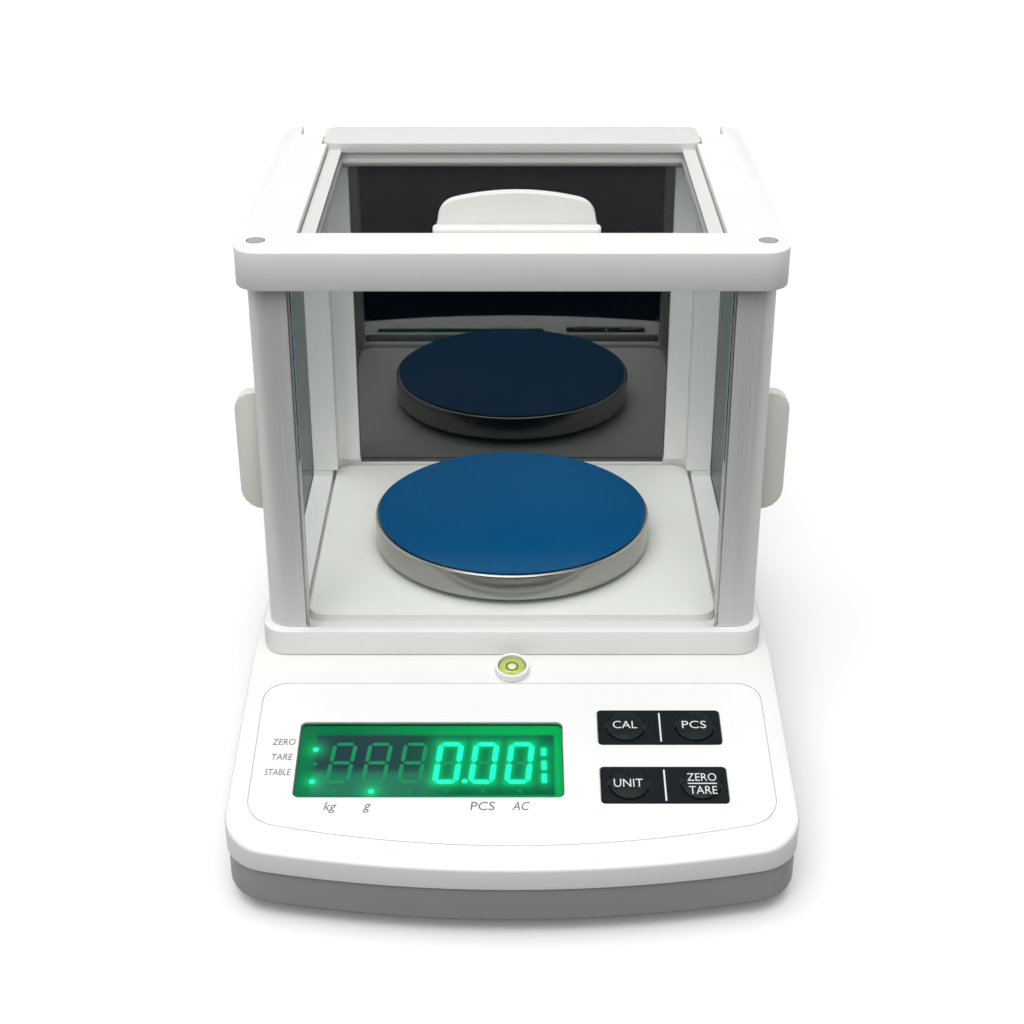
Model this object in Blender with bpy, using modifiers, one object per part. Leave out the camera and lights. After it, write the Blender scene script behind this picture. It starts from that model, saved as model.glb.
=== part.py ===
"""Jewellery scale with a glass draught shield, as separate solids.

Units are metres with +Z up. The scale stands on Z = 0, centred on X = 0 and Y = 0, and faces -Y.
The shield, the pan and the doors sit on a flat deck; the keys and the display sit on a sloping panel.
"""
import math

import bmesh
import bpy
from mathutils import Matrix

MM = 0.001
CLEARANCE = 0.3 * MM
BEYOND = 10 * MM

# Base housing: white shell over a grey tray, with a bowed front
BASE_FRONT = -146 * MM
BASE_REAR = 144.2 * MM
BASE_HALF_FRONT = 105.5 * MM
BASE_TAPER = 2.5 * MM
BASE_HALF_REAR = BASE_HALF_FRONT - BASE_TAPER
BASE_BOW_RADIUS = 400 * MM
BASE_FRONT_CORNER = 20 * MM
BASE_REAR_CORNER = 14 * MM
FOOT_HEIGHT = 5.4 * MM
FOOT_GAP = 0.6 * MM
BASE_BOTTOM = FOOT_HEIGHT + FOOT_GAP
LOWER_HEIGHT = 15 * MM
SPLIT_Z = BASE_BOTTOM + LOWER_HEIGHT
UPPER_HEIGHT = 29.5 * MM
DECK_Z = SPLIT_Z + UPPER_HEIGHT
UPPER_WALL = 3 * MM
LOWER_WALL = 2.5 * MM
FLOOR_Z = BASE_BOTTOM + LOWER_WALL
LOWER_INSET = 0.8 * MM
TOP_EDGE_ROUND = 1.5 * MM
BOTTOM_EDGE_ROUND = 1.5 * MM
BOSS_SINK = 1 * MM
BOSS_GAP = 0.5 * MM
BOSS_MEET_Z = SPLIT_Z + 1.5 * MM

# Sloping panel, measured in its own plane from the crease where it leaves the deck
PANEL_DEPTH = 110 * MM
PANEL_CREASE_Y = BASE_FRONT + PANEL_DEPTH
PANEL_SLOPE = math.radians(11.9)
FRONT_LIP_HEIGHT = 9 * MM
FRONT_LIP_Z = SPLIT_Z + FRONT_LIP_HEIGHT
FRONT_LIP_Y = PANEL_CREASE_Y - (DECK_Z - FRONT_LIP_Z) / math.tan(PANEL_SLOPE)
RECESS_DEPTH = 0.8 * MM
OVERLAY_THICKNESS = 0.5 * MM
OVERLAY_HALF_WIDTH = BASE_HALF_FRONT - 8 * MM
OVERLAY_TOP = -16 * MM
OVERLAY_BOTTOM = 13.9 * MM - PANEL_DEPTH / math.cos(PANEL_SLOPE)
OVERLAY_FRONT_CORNER = 13 * MM
OVERLAY_REAR_CORNER = 9 * MM
WINDOW_SIZE = (100.5 * MM, 38 * MM)
WINDOW_MARGIN = 16.25 * MM
WINDOW_CENTRE = (WINDOW_SIZE[0] / 2 + WINDOW_MARGIN - OVERLAY_HALF_WIDTH, OVERLAY_TOP - 40.4 * MM)
WINDOW_CORNER = 2.2 * MM
WINDOW_LEDGE = 3 * MM
WINDOW_SEAT_DEPTH = 1.9 * MM
WINDOW_THICKNESS = 2 * MM
STRIP_SIZE = (47.3 * MM, 17.8 * MM)
STRIP_MARGIN = 17.15 * MM
STRIP_CORNER = 1.6 * MM
STRIP_CENTRE_X = OVERLAY_HALF_WIDTH - STRIP_MARGIN - STRIP_SIZE[0] / 2
STRIP_ROWS = {"upper": OVERLAY_TOP - 24 * MM, "lower": OVERLAY_TOP - 53.6 * MM}
STRIP_THICKNESS = 0.8 * MM
KEY_COLUMNS = (STRIP_CENTRE_X - 13.1 * MM, STRIP_CENTRE_X + 13.7 * MM)
KEY_NAMES = {"upper": ("key_cal", "key_pcs"), "lower": ("key_unit", "key_zero_tare")}
KEY_RADIUS = 7.4 * MM
KEY_GAP = 0.35 * MM
KEY_PROUD = 1.2 * MM
KEY_ROUND = 0.8 * MM
KEY_FLANGE_RADIUS = KEY_RADIUS + 1.4 * MM
KEY_FLANGE_THICKNESS = 1 * MM
KEY_TRAVEL = 0.6 * MM
KEY_REST_GAP = 0.2 * MM
BOARD_THICKNESS = 1.6 * MM
BOARD_DEPTH = UPPER_WALL + 6 * MM
DISPLAY_BOARD_SIZE = (2 * OVERLAY_HALF_WIDTH - 29 * MM, 52 * MM)
DISPLAY_BOARD_CENTRE = (-2 * MM, OVERLAY_TOP - 36 * MM)
DISPLAY_MODULE_SIZE = (WINDOW_SIZE[0] - 8.5 * MM, WINDOW_SIZE[1] - 8 * MM)
TACT_SWITCH_SIZE = 6 * MM

# Spirit level
LEVEL_CENTRE_Y = -8.7 * MM
LEVEL_BORE = 5.7 * MM
LEVEL_RING_RADIUS = LEVEL_BORE + 1.15 * MM
LEVEL_HEIGHT = 3.2 * MM
LEVEL_VIAL_DEPTH = 5 * MM
LEVEL_VIAL_STEP = 0.8 * MM

# Draught shield, standing on the deck: frames, columns and panes
GLASS = 3.5 * MM
SHIELD_FRONT = PANEL_CREASE_Y
SHIELD_REAR = BASE_REAR - 7.2 * MM
SHIELD_CORNER = 10 * MM
SHIELD_EDGE_ROUND = 0.8 * MM
BASE_FRAME_HALF = BASE_HALF_REAR - 2.5 * MM
BASE_FRAME_HEIGHT = 11.1 * MM
BASE_FRAME_TOP = DECK_Z + BASE_FRAME_HEIGHT
CHAMBER_SINK = 2.6 * MM
CHAMBER_FLOOR_Z = BASE_FRAME_TOP - CHAMBER_SINK
TRAY_POCKET_Z = CHAMBER_FLOOR_Z - 4.3 * MM
PANE_HEIGHT = 143.9 * MM
TOP_FRAME_BOTTOM = BASE_FRAME_TOP + PANE_HEIGHT
TOP_FRAME_HEIGHT = 14.8 * MM
TOP_FRAME_TOP = TOP_FRAME_BOTTOM + TOP_FRAME_HEIGHT
TOP_FRAME_HALF = BASE_FRAME_HALF + 1 * MM
TOP_FRAME_OVERHANG = 0.5 * MM
TOP_FRAME_FRONT = SHIELD_FRONT - TOP_FRAME_OVERHANG
TOP_FRAME_REAR = SHIELD_REAR + TOP_FRAME_OVERHANG
SLOT_DEPTH = 4 * MM
COLUMN_FRONT = SHIELD_FRONT + 4 * MM
COLUMN_DEPTH = 15 * MM
COLUMN_OUTER = BASE_FRAME_HALF - 2.5 * MM
COLUMN_INNER = COLUMN_OUTER - 15.3 * MM
COLUMN_CORNER = 9 * MM
DOOR_INNER = COLUMN_OUTER - GLASS
REAR_COLUMN_FRONT = SHIELD_REAR - 25 * MM
REAR_COLUMN_OUTER = DOOR_INNER - 0.5 * MM
REAR_COLUMN_STEP_Y = SHIELD_REAR - 13 * MM
REAR_COLUMN_LIP = REAR_COLUMN_OUTER - 21 * MM
FRONT_GLASS_Y = COLUMN_FRONT + 0.2 * MM
FRONT_GLASS_HALF = COLUMN_INNER - 1.1 * MM
REAR_PANEL = 4 * MM
REAR_PANEL_Y = SHIELD_REAR - 9 * MM
REAR_PANEL_HALF = REAR_COLUMN_LIP + 7 * MM
TRAY_HALF = DOOR_INNER - 10.9 * MM
TRAY_FRONT = COLUMN_FRONT + 13.7 * MM
TRAY_REAR = REAR_PANEL_Y - 4.6 * MM
TRAY_CORNER = 8 * MM
TRAY_GROOVE = 1.6 * MM
TRAY_FRONT_GROOVE = 5 * MM
DOOR_FRONT = COLUMN_FRONT + COLUMN_DEPTH + 2 * CLEARANCE
DOOR_REAR = SHIELD_REAR - 0.5 * MM
DOOR_HANDLE_REACH = 10 * MM
DOOR_HANDLE_LOWER_REACH = 9.5 * MM
DOOR_HANDLE_UPPER_ROUND = 7 * MM
DOOR_HANDLE_LOWER_ROUND = 9 * MM
DOOR_HANDLE_EDGE_ROUND = 1.5 * MM
DOOR_HANDLE_FRONT = DOOR_FRONT + 2.4 * MM
DOOR_HANDLE_DEPTH = 6 * MM
DOOR_HANDLE_LOW = BASE_FRAME_TOP + 44 * MM
DOOR_HANDLE_HIGH = DOOR_HANDLE_LOW + 50.4 * MM

# Sliding top cover and the bay that it runs in
BAY_HALF = TOP_FRAME_HALF - 21.5 * MM
BAY_FRONT = TOP_FRAME_FRONT + 22.8 * MM
BAY_FLOOR_Z = TOP_FRAME_BOTTOM + 5.8 * MM
COVER_BAR_DEPTH = 27.4 * MM
COVER_BAR_EXTRA = 2 * MM
COVER_BAR_CORNER = 5 * MM
BAY_REAR = TOP_FRAME_REAR - COVER_BAR_DEPTH - 1.7 * MM
NOTCH_FRONT = TOP_FRAME_REAR - 15.5 * MM
NOTCH_HALF = TOP_FRAME_HALF - 8.5 * MM
NOTCH_ROUND = 4 * MM
CROSS_BAR_FRONT = TOP_FRAME_REAR - 12 * MM
LEDGE = 5 * MM
GROOVE_LOW = BAY_FLOOR_Z + 1.1 * MM
GROOVE_HEIGHT = 2.2 * MM
GROOVE_DEPTH = 1.6 * MM
COVER_STRIP = 5.6 * MM
COVER_STRIP_TOP = BAY_FLOOR_Z + 6.2 * MM
COVER_GLASS_REBATE = 2 * MM
COVER_GLASS_SILL = 1.2 * MM
COVER_HANDLE_X = 1.8 * MM
COVER_HANDLE_HALF = 31 * MM
COVER_HANDLE_TOP = TOP_FRAME_TOP + 13.5 * MM
COVER_HANDLE_THICKNESS = 5 * MM
COVER_HANDLE_TAPER = 1.5 * MM
COVER_HANDLE_CORNER = 8 * MM
COVER_HANDLE_BOW = 100 * MM
COVER_HANDLE_EDGE_ROUND = 0.9 * MM

# Weighing pan and what carries it
PAN_Y = (TRAY_FRONT + TRAY_REAR) / 2 - 3.55 * MM
PAN_RADIUS = 60 * MM
PAN_TOP = CHAMBER_FLOOR_Z + 14 * MM
PAN_RIM = 11.1 * MM
PAN_SHEET = 1 * MM
PAN_EDGE_ROUND = 1 * MM
FILM_THICKNESS = 0.3 * MM
FILM_RADIUS = PAN_RADIUS - 1.6 * MM
CARRIER_RADIUS = PAN_RADIUS - 16 * MM
CARRIER_RIM = 4 * MM
CARRIER_RIM_HEIGHT = 2.6 * MM
CARRIER_PLATE = 3 * MM
STEM_RADIUS = 6 * MM
STEM_HOLE = STEM_RADIUS + 2.5 * MM
CELL_GAP = 0.8 * MM
CELL_SIZE = (22 * MM, 86 * MM, 22 * MM)
CELL_BOTTOM = FLOOR_Z + 9.8 * MM
CELL_OVERHANG = 12 * MM
CELL_BLOCK_LENGTH = 22 * MM
CELL_HOLE = 7 * MM
CELL_HOLE_SPACING = 22 * MM
CELL_HOLE_WAIST = 5 * MM

# Long screws through the columns
ROD_RADIUS = 2 * MM
ROD_HEAD_RADIUS = 3.3 * MM
ROD_HEAD = 3 * MM
FRONT_ROD = (COLUMN_OUTER - 4 * MM, COLUMN_FRONT + 10 * MM)
REAR_ROD = (REAR_COLUMN_OUTER - 5.6 * MM, REAR_COLUMN_FRONT + 6.5 * MM)
PLUG_RADIUS = ROD_HEAD_RADIUS - 0.1 * MM
PLUG_THICKNESS = 3 * MM

# Feet and the screws that close the housing
FOOT_FRONT = (BASE_HALF_FRONT - 23.5 * MM, BASE_FRONT + 34 * MM)
FOOT_REAR = (BASE_HALF_REAR - 19 * MM, BASE_REAR - 20.2 * MM)
FOOT_RADIUS = 10 * MM
FOOT_ROUND = 0.8 * MM
FOOT_STUD_RADIUS = 3 * MM
FOOT_STUD_TOP = BASE_BOTTOM + 9 * MM
FOOT_BOSS_RADIUS = 6.5 * MM
FOOT_BOSS_TOP = BASE_BOTTOM + 7 * MM
SCREW_FRONT = (BASE_HALF_FRONT - 45.5 * MM, BASE_FRONT + 24 * MM)
SCREW_REAR = (BASE_HALF_REAR - 43 * MM, BASE_REAR - 14.2 * MM)
SCREW_RADIUS = 1.5 * MM
SCREW_HEAD_RADIUS = 3 * MM
SCREW_HEAD = 1.8 * MM
SCREW_SINK = 2.2 * MM
SCREW_BOSS_RADIUS = 5 * MM
SCREW_LENGTH = 14 * MM

# Battery, main board and rear fittings
CASE_ROUND = 1.5 * MM
BATTERY_SIZE = (48 * MM, 97 * MM, 30 * MM)
BATTERY_CENTRE = (BATTERY_SIZE[0] / 2 + 15 * MM - BASE_HALF_REAR, BASE_REAR - 35.7 * MM - BATTERY_SIZE[1] / 2)
MAIN_BOARD_SIZE = (62 * MM, 90 * MM)
MAIN_BOARD_CENTRE = (BASE_HALF_REAR - 12 * MM - MAIN_BOARD_SIZE[0] / 2,
                     BASE_REAR - 44.2 * MM - MAIN_BOARD_SIZE[1] / 2)
STANDOFF = 5 * MM
REAR_FITTING_Z = SPLIT_Z + 13 * MM
SOCKET_X = -10 * MM
SOCKET_RADIUS = 4.5 * MM
SOCKET_BORE = 2.9 * MM
SOCKET_PIN = 1 * MM
SOCKET_LENGTH = 14 * MM
SOCKET_BACK = 3 * MM
SOCKET_PROUD = 0.5 * MM
SWITCH_X = -36 * MM
SWITCH_SIZE = (21 * MM, 15 * MM)
SWITCH_DEPTH = 13 * MM
SWITCH_RIM = 2 * MM
SWITCH_FLANGE = 1.5 * MM
SWITCH_WELL = 6 * MM
ROCKER_PIVOT_DEPTH = 1 * MM
ROCKER_EDGE = 2.2 * MM
ROCKER_DISH = 0.8 * MM
ROCKER_SIDE = 3.2 * MM
ROCKER_KEEL = 3.5 * MM
ROCKER_END_GAP = 0.8 * MM
ROCKER_TILT = math.radians(8)

FINE_STEPS = 72
SMOOTH_STEPS = 36
ROUND_STEPS = 24
SMALL_STEPS = 12
SHARP_ANGLE = math.radians(35)

for leftover in list(bpy.data.objects):
    bpy.data.objects.remove(leftover, do_unlink=True)

parts = bpy.data.collections.new("jewellery_scale")
cutters = bpy.data.collections.new("cutters")
for collection in (parts, cutters):
    bpy.context.scene.collection.children.link(collection)


def material(name, colour, roughness, metallic=0.0, transmission=0.0):
    """A Principled surface of one plain colour."""
    made = bpy.data.materials.new(name)
    made.use_nodes = True
    shader = made.node_tree.nodes["Principled BSDF"]
    shader.inputs["Base Color"].default_value = (*colour, 1.0)
    shader.inputs["Roughness"].default_value = roughness
    shader.inputs["Metallic"].default_value = metallic
    shader.inputs["Transmission Weight"].default_value = transmission
    return made


WHITE = material("white plastic", (0.80, 0.80, 0.78), 0.4)
GREY = material("grey plastic", (0.22, 0.22, 0.22), 0.5)
BLACK = material("black plastic", (0.02, 0.022, 0.025), 0.4)
ALUMINIUM = material("brushed aluminium", (0.62, 0.62, 0.60), 0.35, 1.0)
STEEL = material("stainless steel", (0.70, 0.69, 0.66), 0.2, 1.0)
ZINC = material("zinc plated steel", (0.55, 0.55, 0.53), 0.35, 1.0)
CLEAR_GLASS = material("clear glass", (0.93, 0.97, 0.95), 0.02, 0.0, 0.95)
DARK_GLASS = material("dark mirror glass", (0.02, 0.03, 0.035), 0.03)
GREEN_LENS = material("green lens", (0.0, 0.35, 0.14), 0.1)
BLUE_FILM = material("blue film", (0.01, 0.09, 0.24), 0.2)
BOARD_GREEN = material("circuit board", (0.02, 0.20, 0.08), 0.5)
LIQUID = material("level liquid", (0.60, 0.68, 0.08), 0.1)
RUBBER = material("rubber", (0.03, 0.03, 0.03), 0.8)


def adopt(name, mesh, surface, parent=None, location=(0, 0, 0), is_cutter=False):
    """Puts a mesh in the scene as a part or as a cutter."""
    made = bpy.data.objects.new(name, mesh)
    (cutters if is_cutter else parts).objects.link(made)
    made.parent = parent
    made.location = location
    if is_cutter:
        made.hide_render = True
        made.display_type = "WIRE"
    else:
        mesh.materials.append(surface)
    return made


def empty(name, location, tilt=0.0):
    """A bare frame that carries pieces; tilt turns it about X."""
    made = bpy.data.objects.new(name, None)
    parts.objects.link(made)
    made.location = location
    made.rotation_euler = (tilt, 0, 0)
    return made


def finish(build, name):
    """Turns a bmesh into a mesh with sharp edges where its faces meet at an angle."""
    bmesh.ops.recalc_face_normals(build, faces=build.faces)
    mesh = bpy.data.meshes.new(name)
    build.to_mesh(mesh)
    build.free()
    mesh.shade_smooth()
    mesh.set_sharp_from_angle(angle=SHARP_ANGLE)
    return mesh


def block(name, spans, surface=None, parent=None, is_cutter=False):
    """A box given as its (low, high) spans along X, Y and Z."""
    size = [high - low for low, high in spans]
    middle = [(high + low) / 2 for low, high in spans]
    build = bmesh.new()
    bmesh.ops.create_cube(build, size=1.0, matrix=Matrix.Diagonal((*size, 1.0)))
    return adopt(name, finish(build, name), surface, parent, middle, is_cutter)


def rod(name, radius, spans_z, centre, surface=None, parent=None, is_cutter=False, steps=SMOOTH_STEPS):
    """An upright cylinder from a low to a high Z."""
    low, high = spans_z
    build = bmesh.new()
    bmesh.ops.create_cone(build, cap_ends=True, segments=steps, radius1=radius, radius2=radius,
                          depth=high - low)
    return adopt(name, finish(build, name), surface, parent, (*centre, (low + high) / 2), is_cutter)


def rod_along_y(name, radius, spans_y, x, z, surface=None, is_cutter=False, steps=ROUND_STEPS):
    """A cylinder lying along Y."""
    low, high = spans_y
    made = rod(name, radius, (-(high - low) / 2, (high - low) / 2), (0, 0), surface, None, is_cutter, steps)
    made.location = (x, (low + high) / 2, z)
    made.rotation_euler = (math.pi / 2, 0, 0)
    return made


def extrusion_mesh(name, outlines, low, high, merge_caps):
    """A flat outline, with any further outlines as holes, as a closed mesh between two heights."""
    curve = bpy.data.curves.new(name, "CURVE")
    curve.dimensions = "2D"
    curve.fill_mode = "BOTH"
    curve.extrude = (high - low) / 2
    for outline in outlines:
        spline = curve.splines.new("POLY")
        spline.points.add(len(outline) - 1)
        for point, (x, y) in zip(spline.points, outline):
            point.co = (x, y, 0, 1)
        spline.use_cyclic_u = True
    guide = bpy.data.objects.new(name, curve)
    cutters.objects.link(guide)
    evaluated = guide.evaluated_get(bpy.context.evaluated_depsgraph_get())
    flat = bpy.data.meshes.new_from_object(evaluated)
    build = bmesh.new()
    build.from_mesh(flat)
    bmesh.ops.remove_doubles(build, verts=build.verts, dist=1e-6)
    bmesh.ops.translate(build, verts=build.verts, vec=(0, 0, (low + high) / 2))
    if merge_caps:
        bmesh.ops.dissolve_limit(build, angle_limit=math.radians(0.2), verts=build.verts, edges=build.edges)
    bpy.data.objects.remove(guide, do_unlink=True)
    return finish(build, name)


def plate(name, outlines, spans_z, surface=None, parent=None, is_cutter=False):
    """A flat outline extruded upright."""
    mesh = extrusion_mesh(name, outlines, *spans_z, not is_cutter)
    return adopt(name, mesh, surface, parent, (0, 0, 0), is_cutter)


def side_plate(name, outlines, spans_x, surface=None, is_cutter=False):
    """An outline drawn in (Y, Z) and extruded along X."""
    made = plate(name, outlines, spans_x, surface, None, is_cutter)
    made.rotation_euler = (math.pi / 2, 0, math.pi / 2)
    return made


def front_plate(name, outlines, spans_y, surface=None, is_cutter=False):
    """An outline drawn in (X, Z) and extruded along Y."""
    low, high = spans_y
    made = plate(name, outlines, (-high, -low), surface, None, is_cutter)
    made.rotation_euler = (math.pi / 2, 0, 0)
    return made


def turned(name, profile, surface, centre, steps=FINE_STEPS):
    """A profile of (radius, height) points, run from the axis outward and down, turned about Z."""
    mesh = bpy.data.meshes.new(name)
    build = bmesh.new()
    corners = [build.verts.new((radius, 0, height)) for radius, height in profile]
    for first, second in zip(corners, corners[1:]):
        build.edges.new((first, second))
    build.to_mesh(mesh)
    build.free()
    made = adopt(name, mesh, surface, None, (*centre, 0))
    screw = made.modifiers.new("turn", "SCREW")
    screw.axis = "Z"
    screw.steps = steps
    screw.render_steps = steps
    screw.use_merge_vertices = True
    screw.merge_threshold = 1e-5
    screw.use_smooth_shade = False
    return made


def combine(target, operation, tools, solver="EXACT"):
    """Adds Boolean modifiers, one for each tool."""
    for tool in tools:
        modifier = target.modifiers.new(tool.name, "BOOLEAN")
        modifier.operation = operation
        modifier.solver = solver
        modifier.object = tool


def cut(target, *tools):
    combine(target, "DIFFERENCE", tools)


def join(target, *tools):
    combine(target, "UNION", tools)


def round_edges(target, width, segments=3, angle=40):
    """Rounds the edges that are sharper than an angle."""
    bevel = target.modifiers.new("round", "BEVEL")
    bevel.width = width
    bevel.segments = segments
    bevel.limit_method = "ANGLE"
    bevel.angle_limit = math.radians(angle)
    bevel.use_clamp_overlap = True


def arc(centre, radius, start, end, steps):
    """Points along an arc, its ends included; angles in radians."""
    angles = [start + (end - start) * step / steps for step in range(steps + 1)]
    return [(centre[0] + radius * math.cos(angle), centre[1] + radius * math.sin(angle)) for angle in angles]


def rounded_box(left, right, front, rear, corner, steps=6):
    """A rectangle with four round corners."""
    quarter = math.pi / 2
    return (arc((right - corner, front + corner), corner, -quarter, 0, steps)
            + arc((right - corner, rear - corner), corner, 0, quarter, steps)
            + arc((left + corner, rear - corner), corner, quarter, 2 * quarter, steps)
            + arc((left + corner, front + corner), corner, 2 * quarter, 3 * quarter, steps))


def rectangle(half, front, rear):
    return [(-half, front), (half, front), (half, rear), (-half, rear)]


def box_outline(centre, size, corner, grow=0.0):
    """A round-cornered rectangle about a centre, grown all round."""
    half_x = size[0] / 2 + grow
    half_y = size[1] / 2 + grow
    return rounded_box(centre[0] - half_x, centre[0] + half_x, centre[1] - half_y, centre[1] + half_y,
                       corner + grow)


def bowed_outline(half_front, half_rear, front, rear, bow, front_corner, rear_corner):
    """A box whose front edge bows out as an arc that runs smoothly into its round corners."""
    bow_centre = front + bow
    corner_x = half_front - front_corner
    corner_y = bow_centre - math.sqrt((bow - front_corner) ** 2 - corner_x ** 2)
    meet = math.atan2(corner_y - bow_centre, corner_x)
    quarter = math.pi / 2
    rear_x = half_rear - rear_corner
    rear_y = rear - rear_corner
    return (arc((0, bow_centre), bow, -math.pi - meet, meet, 16)
            + arc((corner_x, corner_y), front_corner, meet, 0, 8)[1:]
            + arc((rear_x, rear_y), rear_corner, 0, quarter, 6)
            + arc((-rear_x, rear_y), rear_corner, quarter, 2 * quarter, 6)
            + arc((-corner_x, corner_y), front_corner, math.pi, math.pi - meet, 8)[:-1])


def mirrored(points):
    """The points of a right half followed by their mirror image, as one outline."""
    return points + [(-x, y) for x, y in reversed(points)]


def base_outline(inset=0.0):
    return bowed_outline(BASE_HALF_FRONT - inset, BASE_HALF_REAR - inset, BASE_FRONT + inset,
                         BASE_REAR - inset, BASE_BOW_RADIUS - inset, BASE_FRONT_CORNER - inset,
                         BASE_REAR_CORNER - inset)


def panel_height(y, drop=0.0):
    """Height of the deck, the sloping panel and its level front lip at a depth, lowered by a drop."""
    fall = max(0.0, PANEL_CREASE_Y - y) * math.tan(PANEL_SLOPE)
    return max(DECK_Z - fall, FRONT_LIP_Z) - drop


def above_housing(name, drop):
    """Everything above the deck, the sloping panel and its front lip."""
    front = BASE_FRONT - BEYOND
    rear = BASE_REAR + BEYOND
    high = DECK_Z + 2 * BEYOND
    outline = [(rear, DECK_Z - drop), (rear, high), (front, high), (front, FRONT_LIP_Z - drop),
               (FRONT_LIP_Y, FRONT_LIP_Z - drop), (PANEL_CREASE_Y, DECK_Z - drop)]
    width = BASE_HALF_FRONT + BEYOND
    return side_plate(name, [outline], (-width, width), is_cutter=True)


def level_slab(name, low, high):
    """A cutter that is wider than the housing, between two heights."""
    width = BASE_HALF_FRONT + BEYOND
    return block(name, ((-width, width), (BASE_FRONT - BEYOND, BASE_REAR + BEYOND), (low, high)),
                 is_cutter=True)


panel = empty("panel_frame", (0, PANEL_CREASE_Y, DECK_Z), PANEL_SLOPE)
WINDOW_HOLE = (WINDOW_SIZE[0] - 2 * WINDOW_LEDGE, WINDOW_SIZE[1] - 2 * WINDOW_LEDGE)


def corners(front, rear):
    """The four corners' names and places, from the front right and the rear right one."""
    for end, (x, y) in (("front", front), ("rear", rear)):
        yield end + "_left", (-x, y)
        yield end + "_right", (x, y)


def key_places():
    """Every key's name with its centre on the panel."""
    for row, names in KEY_NAMES.items():
        for name, x in zip(names, KEY_COLUMNS):
            yield name, (x, STRIP_ROWS[row])


def overlay_outline(grow=0.0):
    return bowed_outline(OVERLAY_HALF_WIDTH + grow, OVERLAY_HALF_WIDTH + grow, OVERLAY_BOTTOM - grow,
                         OVERLAY_TOP + grow, BASE_BOW_RADIUS, OVERLAY_FRONT_CORNER, OVERLAY_REAR_CORNER)


def upper_housing():
    """White top shell: deck, sloping panel and side walls, open underneath."""
    high = DECK_Z + BEYOND
    shell = plate("upper_housing", [base_outline()], (BASE_BOTTOM, high), WHITE)
    cut(shell, above_housing("above_panel", 0.0))
    round_edges(shell, TOP_EDGE_ROUND)
    hollow = plate("upper_hollow", [base_outline(UPPER_WALL)], (0, high), is_cutter=True)
    cut(hollow, above_housing("above_hollow", UPPER_WALL))
    cut(shell, level_slab("below_split", 0, SPLIT_Z), hollow)
    for name, (x, y) in corners(SCREW_FRONT, SCREW_REAR):
        top = panel_height(y, UPPER_WALL / 2)
        boss = rod("upper_boss_" + name, SCREW_BOSS_RADIUS, (BOSS_MEET_Z + BOSS_GAP, top), (x, y),
                   is_cutter=True, steps=SMALL_STEPS)
        join(shell, boss)
    recess = plate("overlay_recess", [overlay_outline(CLEARANCE)], (-RECESS_DEPTH, BEYOND), parent=panel,
                   is_cutter=True)
    seat = plate("window_seat", [box_outline(WINDOW_CENTRE, WINDOW_SIZE, WINDOW_CORNER, CLEARANCE)],
                 (-WINDOW_SEAT_DEPTH, BEYOND), parent=panel, is_cutter=True)
    window = plate("window_hole", [box_outline(WINDOW_CENTRE, WINDOW_HOLE, WINDOW_CORNER)],
                   (-BEYOND, BEYOND), parent=panel, is_cutter=True)
    cut(shell, recess, seat, window)
    for name, centre in key_places():
        cut(shell, rod(name + "_hole", KEY_RADIUS + KEY_GAP, (-BEYOND, BEYOND), centre, parent=panel,
                       is_cutter=True))
    cut(shell, rod("level_hole", LEVEL_BORE, (-BEYOND, BEYOND), (0, LEVEL_CENTRE_Y), parent=panel,
                   is_cutter=True, steps=ROUND_STEPS))
    through_deck = (DECK_Z - BEYOND, DECK_Z + BEYOND)
    cut(shell, rod("deck_stem_hole", STEM_HOLE, through_deck, (0, PAN_Y), is_cutter=True, steps=ROUND_STEPS))
    for name, place in corners(SCREW_FRONT, SCREW_REAR):
        cut(shell, rod("upper_screw_hole_" + name, SCREW_RADIUS + CLEARANCE, (0, SCREW_LENGTH + BEYOND),
                       place, is_cutter=True, steps=SMALL_STEPS))
    for name, place in corners(FRONT_ROD, REAR_ROD):
        cut(shell, rod("deck_rod_hole_" + name, ROD_RADIUS + CLEARANCE, through_deck, place,
                       is_cutter=True, steps=SMALL_STEPS))
    cut(shell, switch_hole(), socket_hole())
    return shell


def switch_hole():
    half_x = SWITCH_SIZE[0] / 2
    half_z = SWITCH_SIZE[1] / 2
    return block("switch_hole", ((SWITCH_X - half_x, SWITCH_X + half_x),
                                 (BASE_REAR - BEYOND, BASE_REAR + BEYOND),
                                 (REAR_FITTING_Z - half_z, REAR_FITTING_Z + half_z)), is_cutter=True)


def socket_hole():
    return rod_along_y("socket_hole", SOCKET_RADIUS + CLEARANCE, (BASE_REAR - BEYOND, BASE_REAR + BEYOND),
                       SOCKET_X, REAR_FITTING_Z, is_cutter=True)


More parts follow.
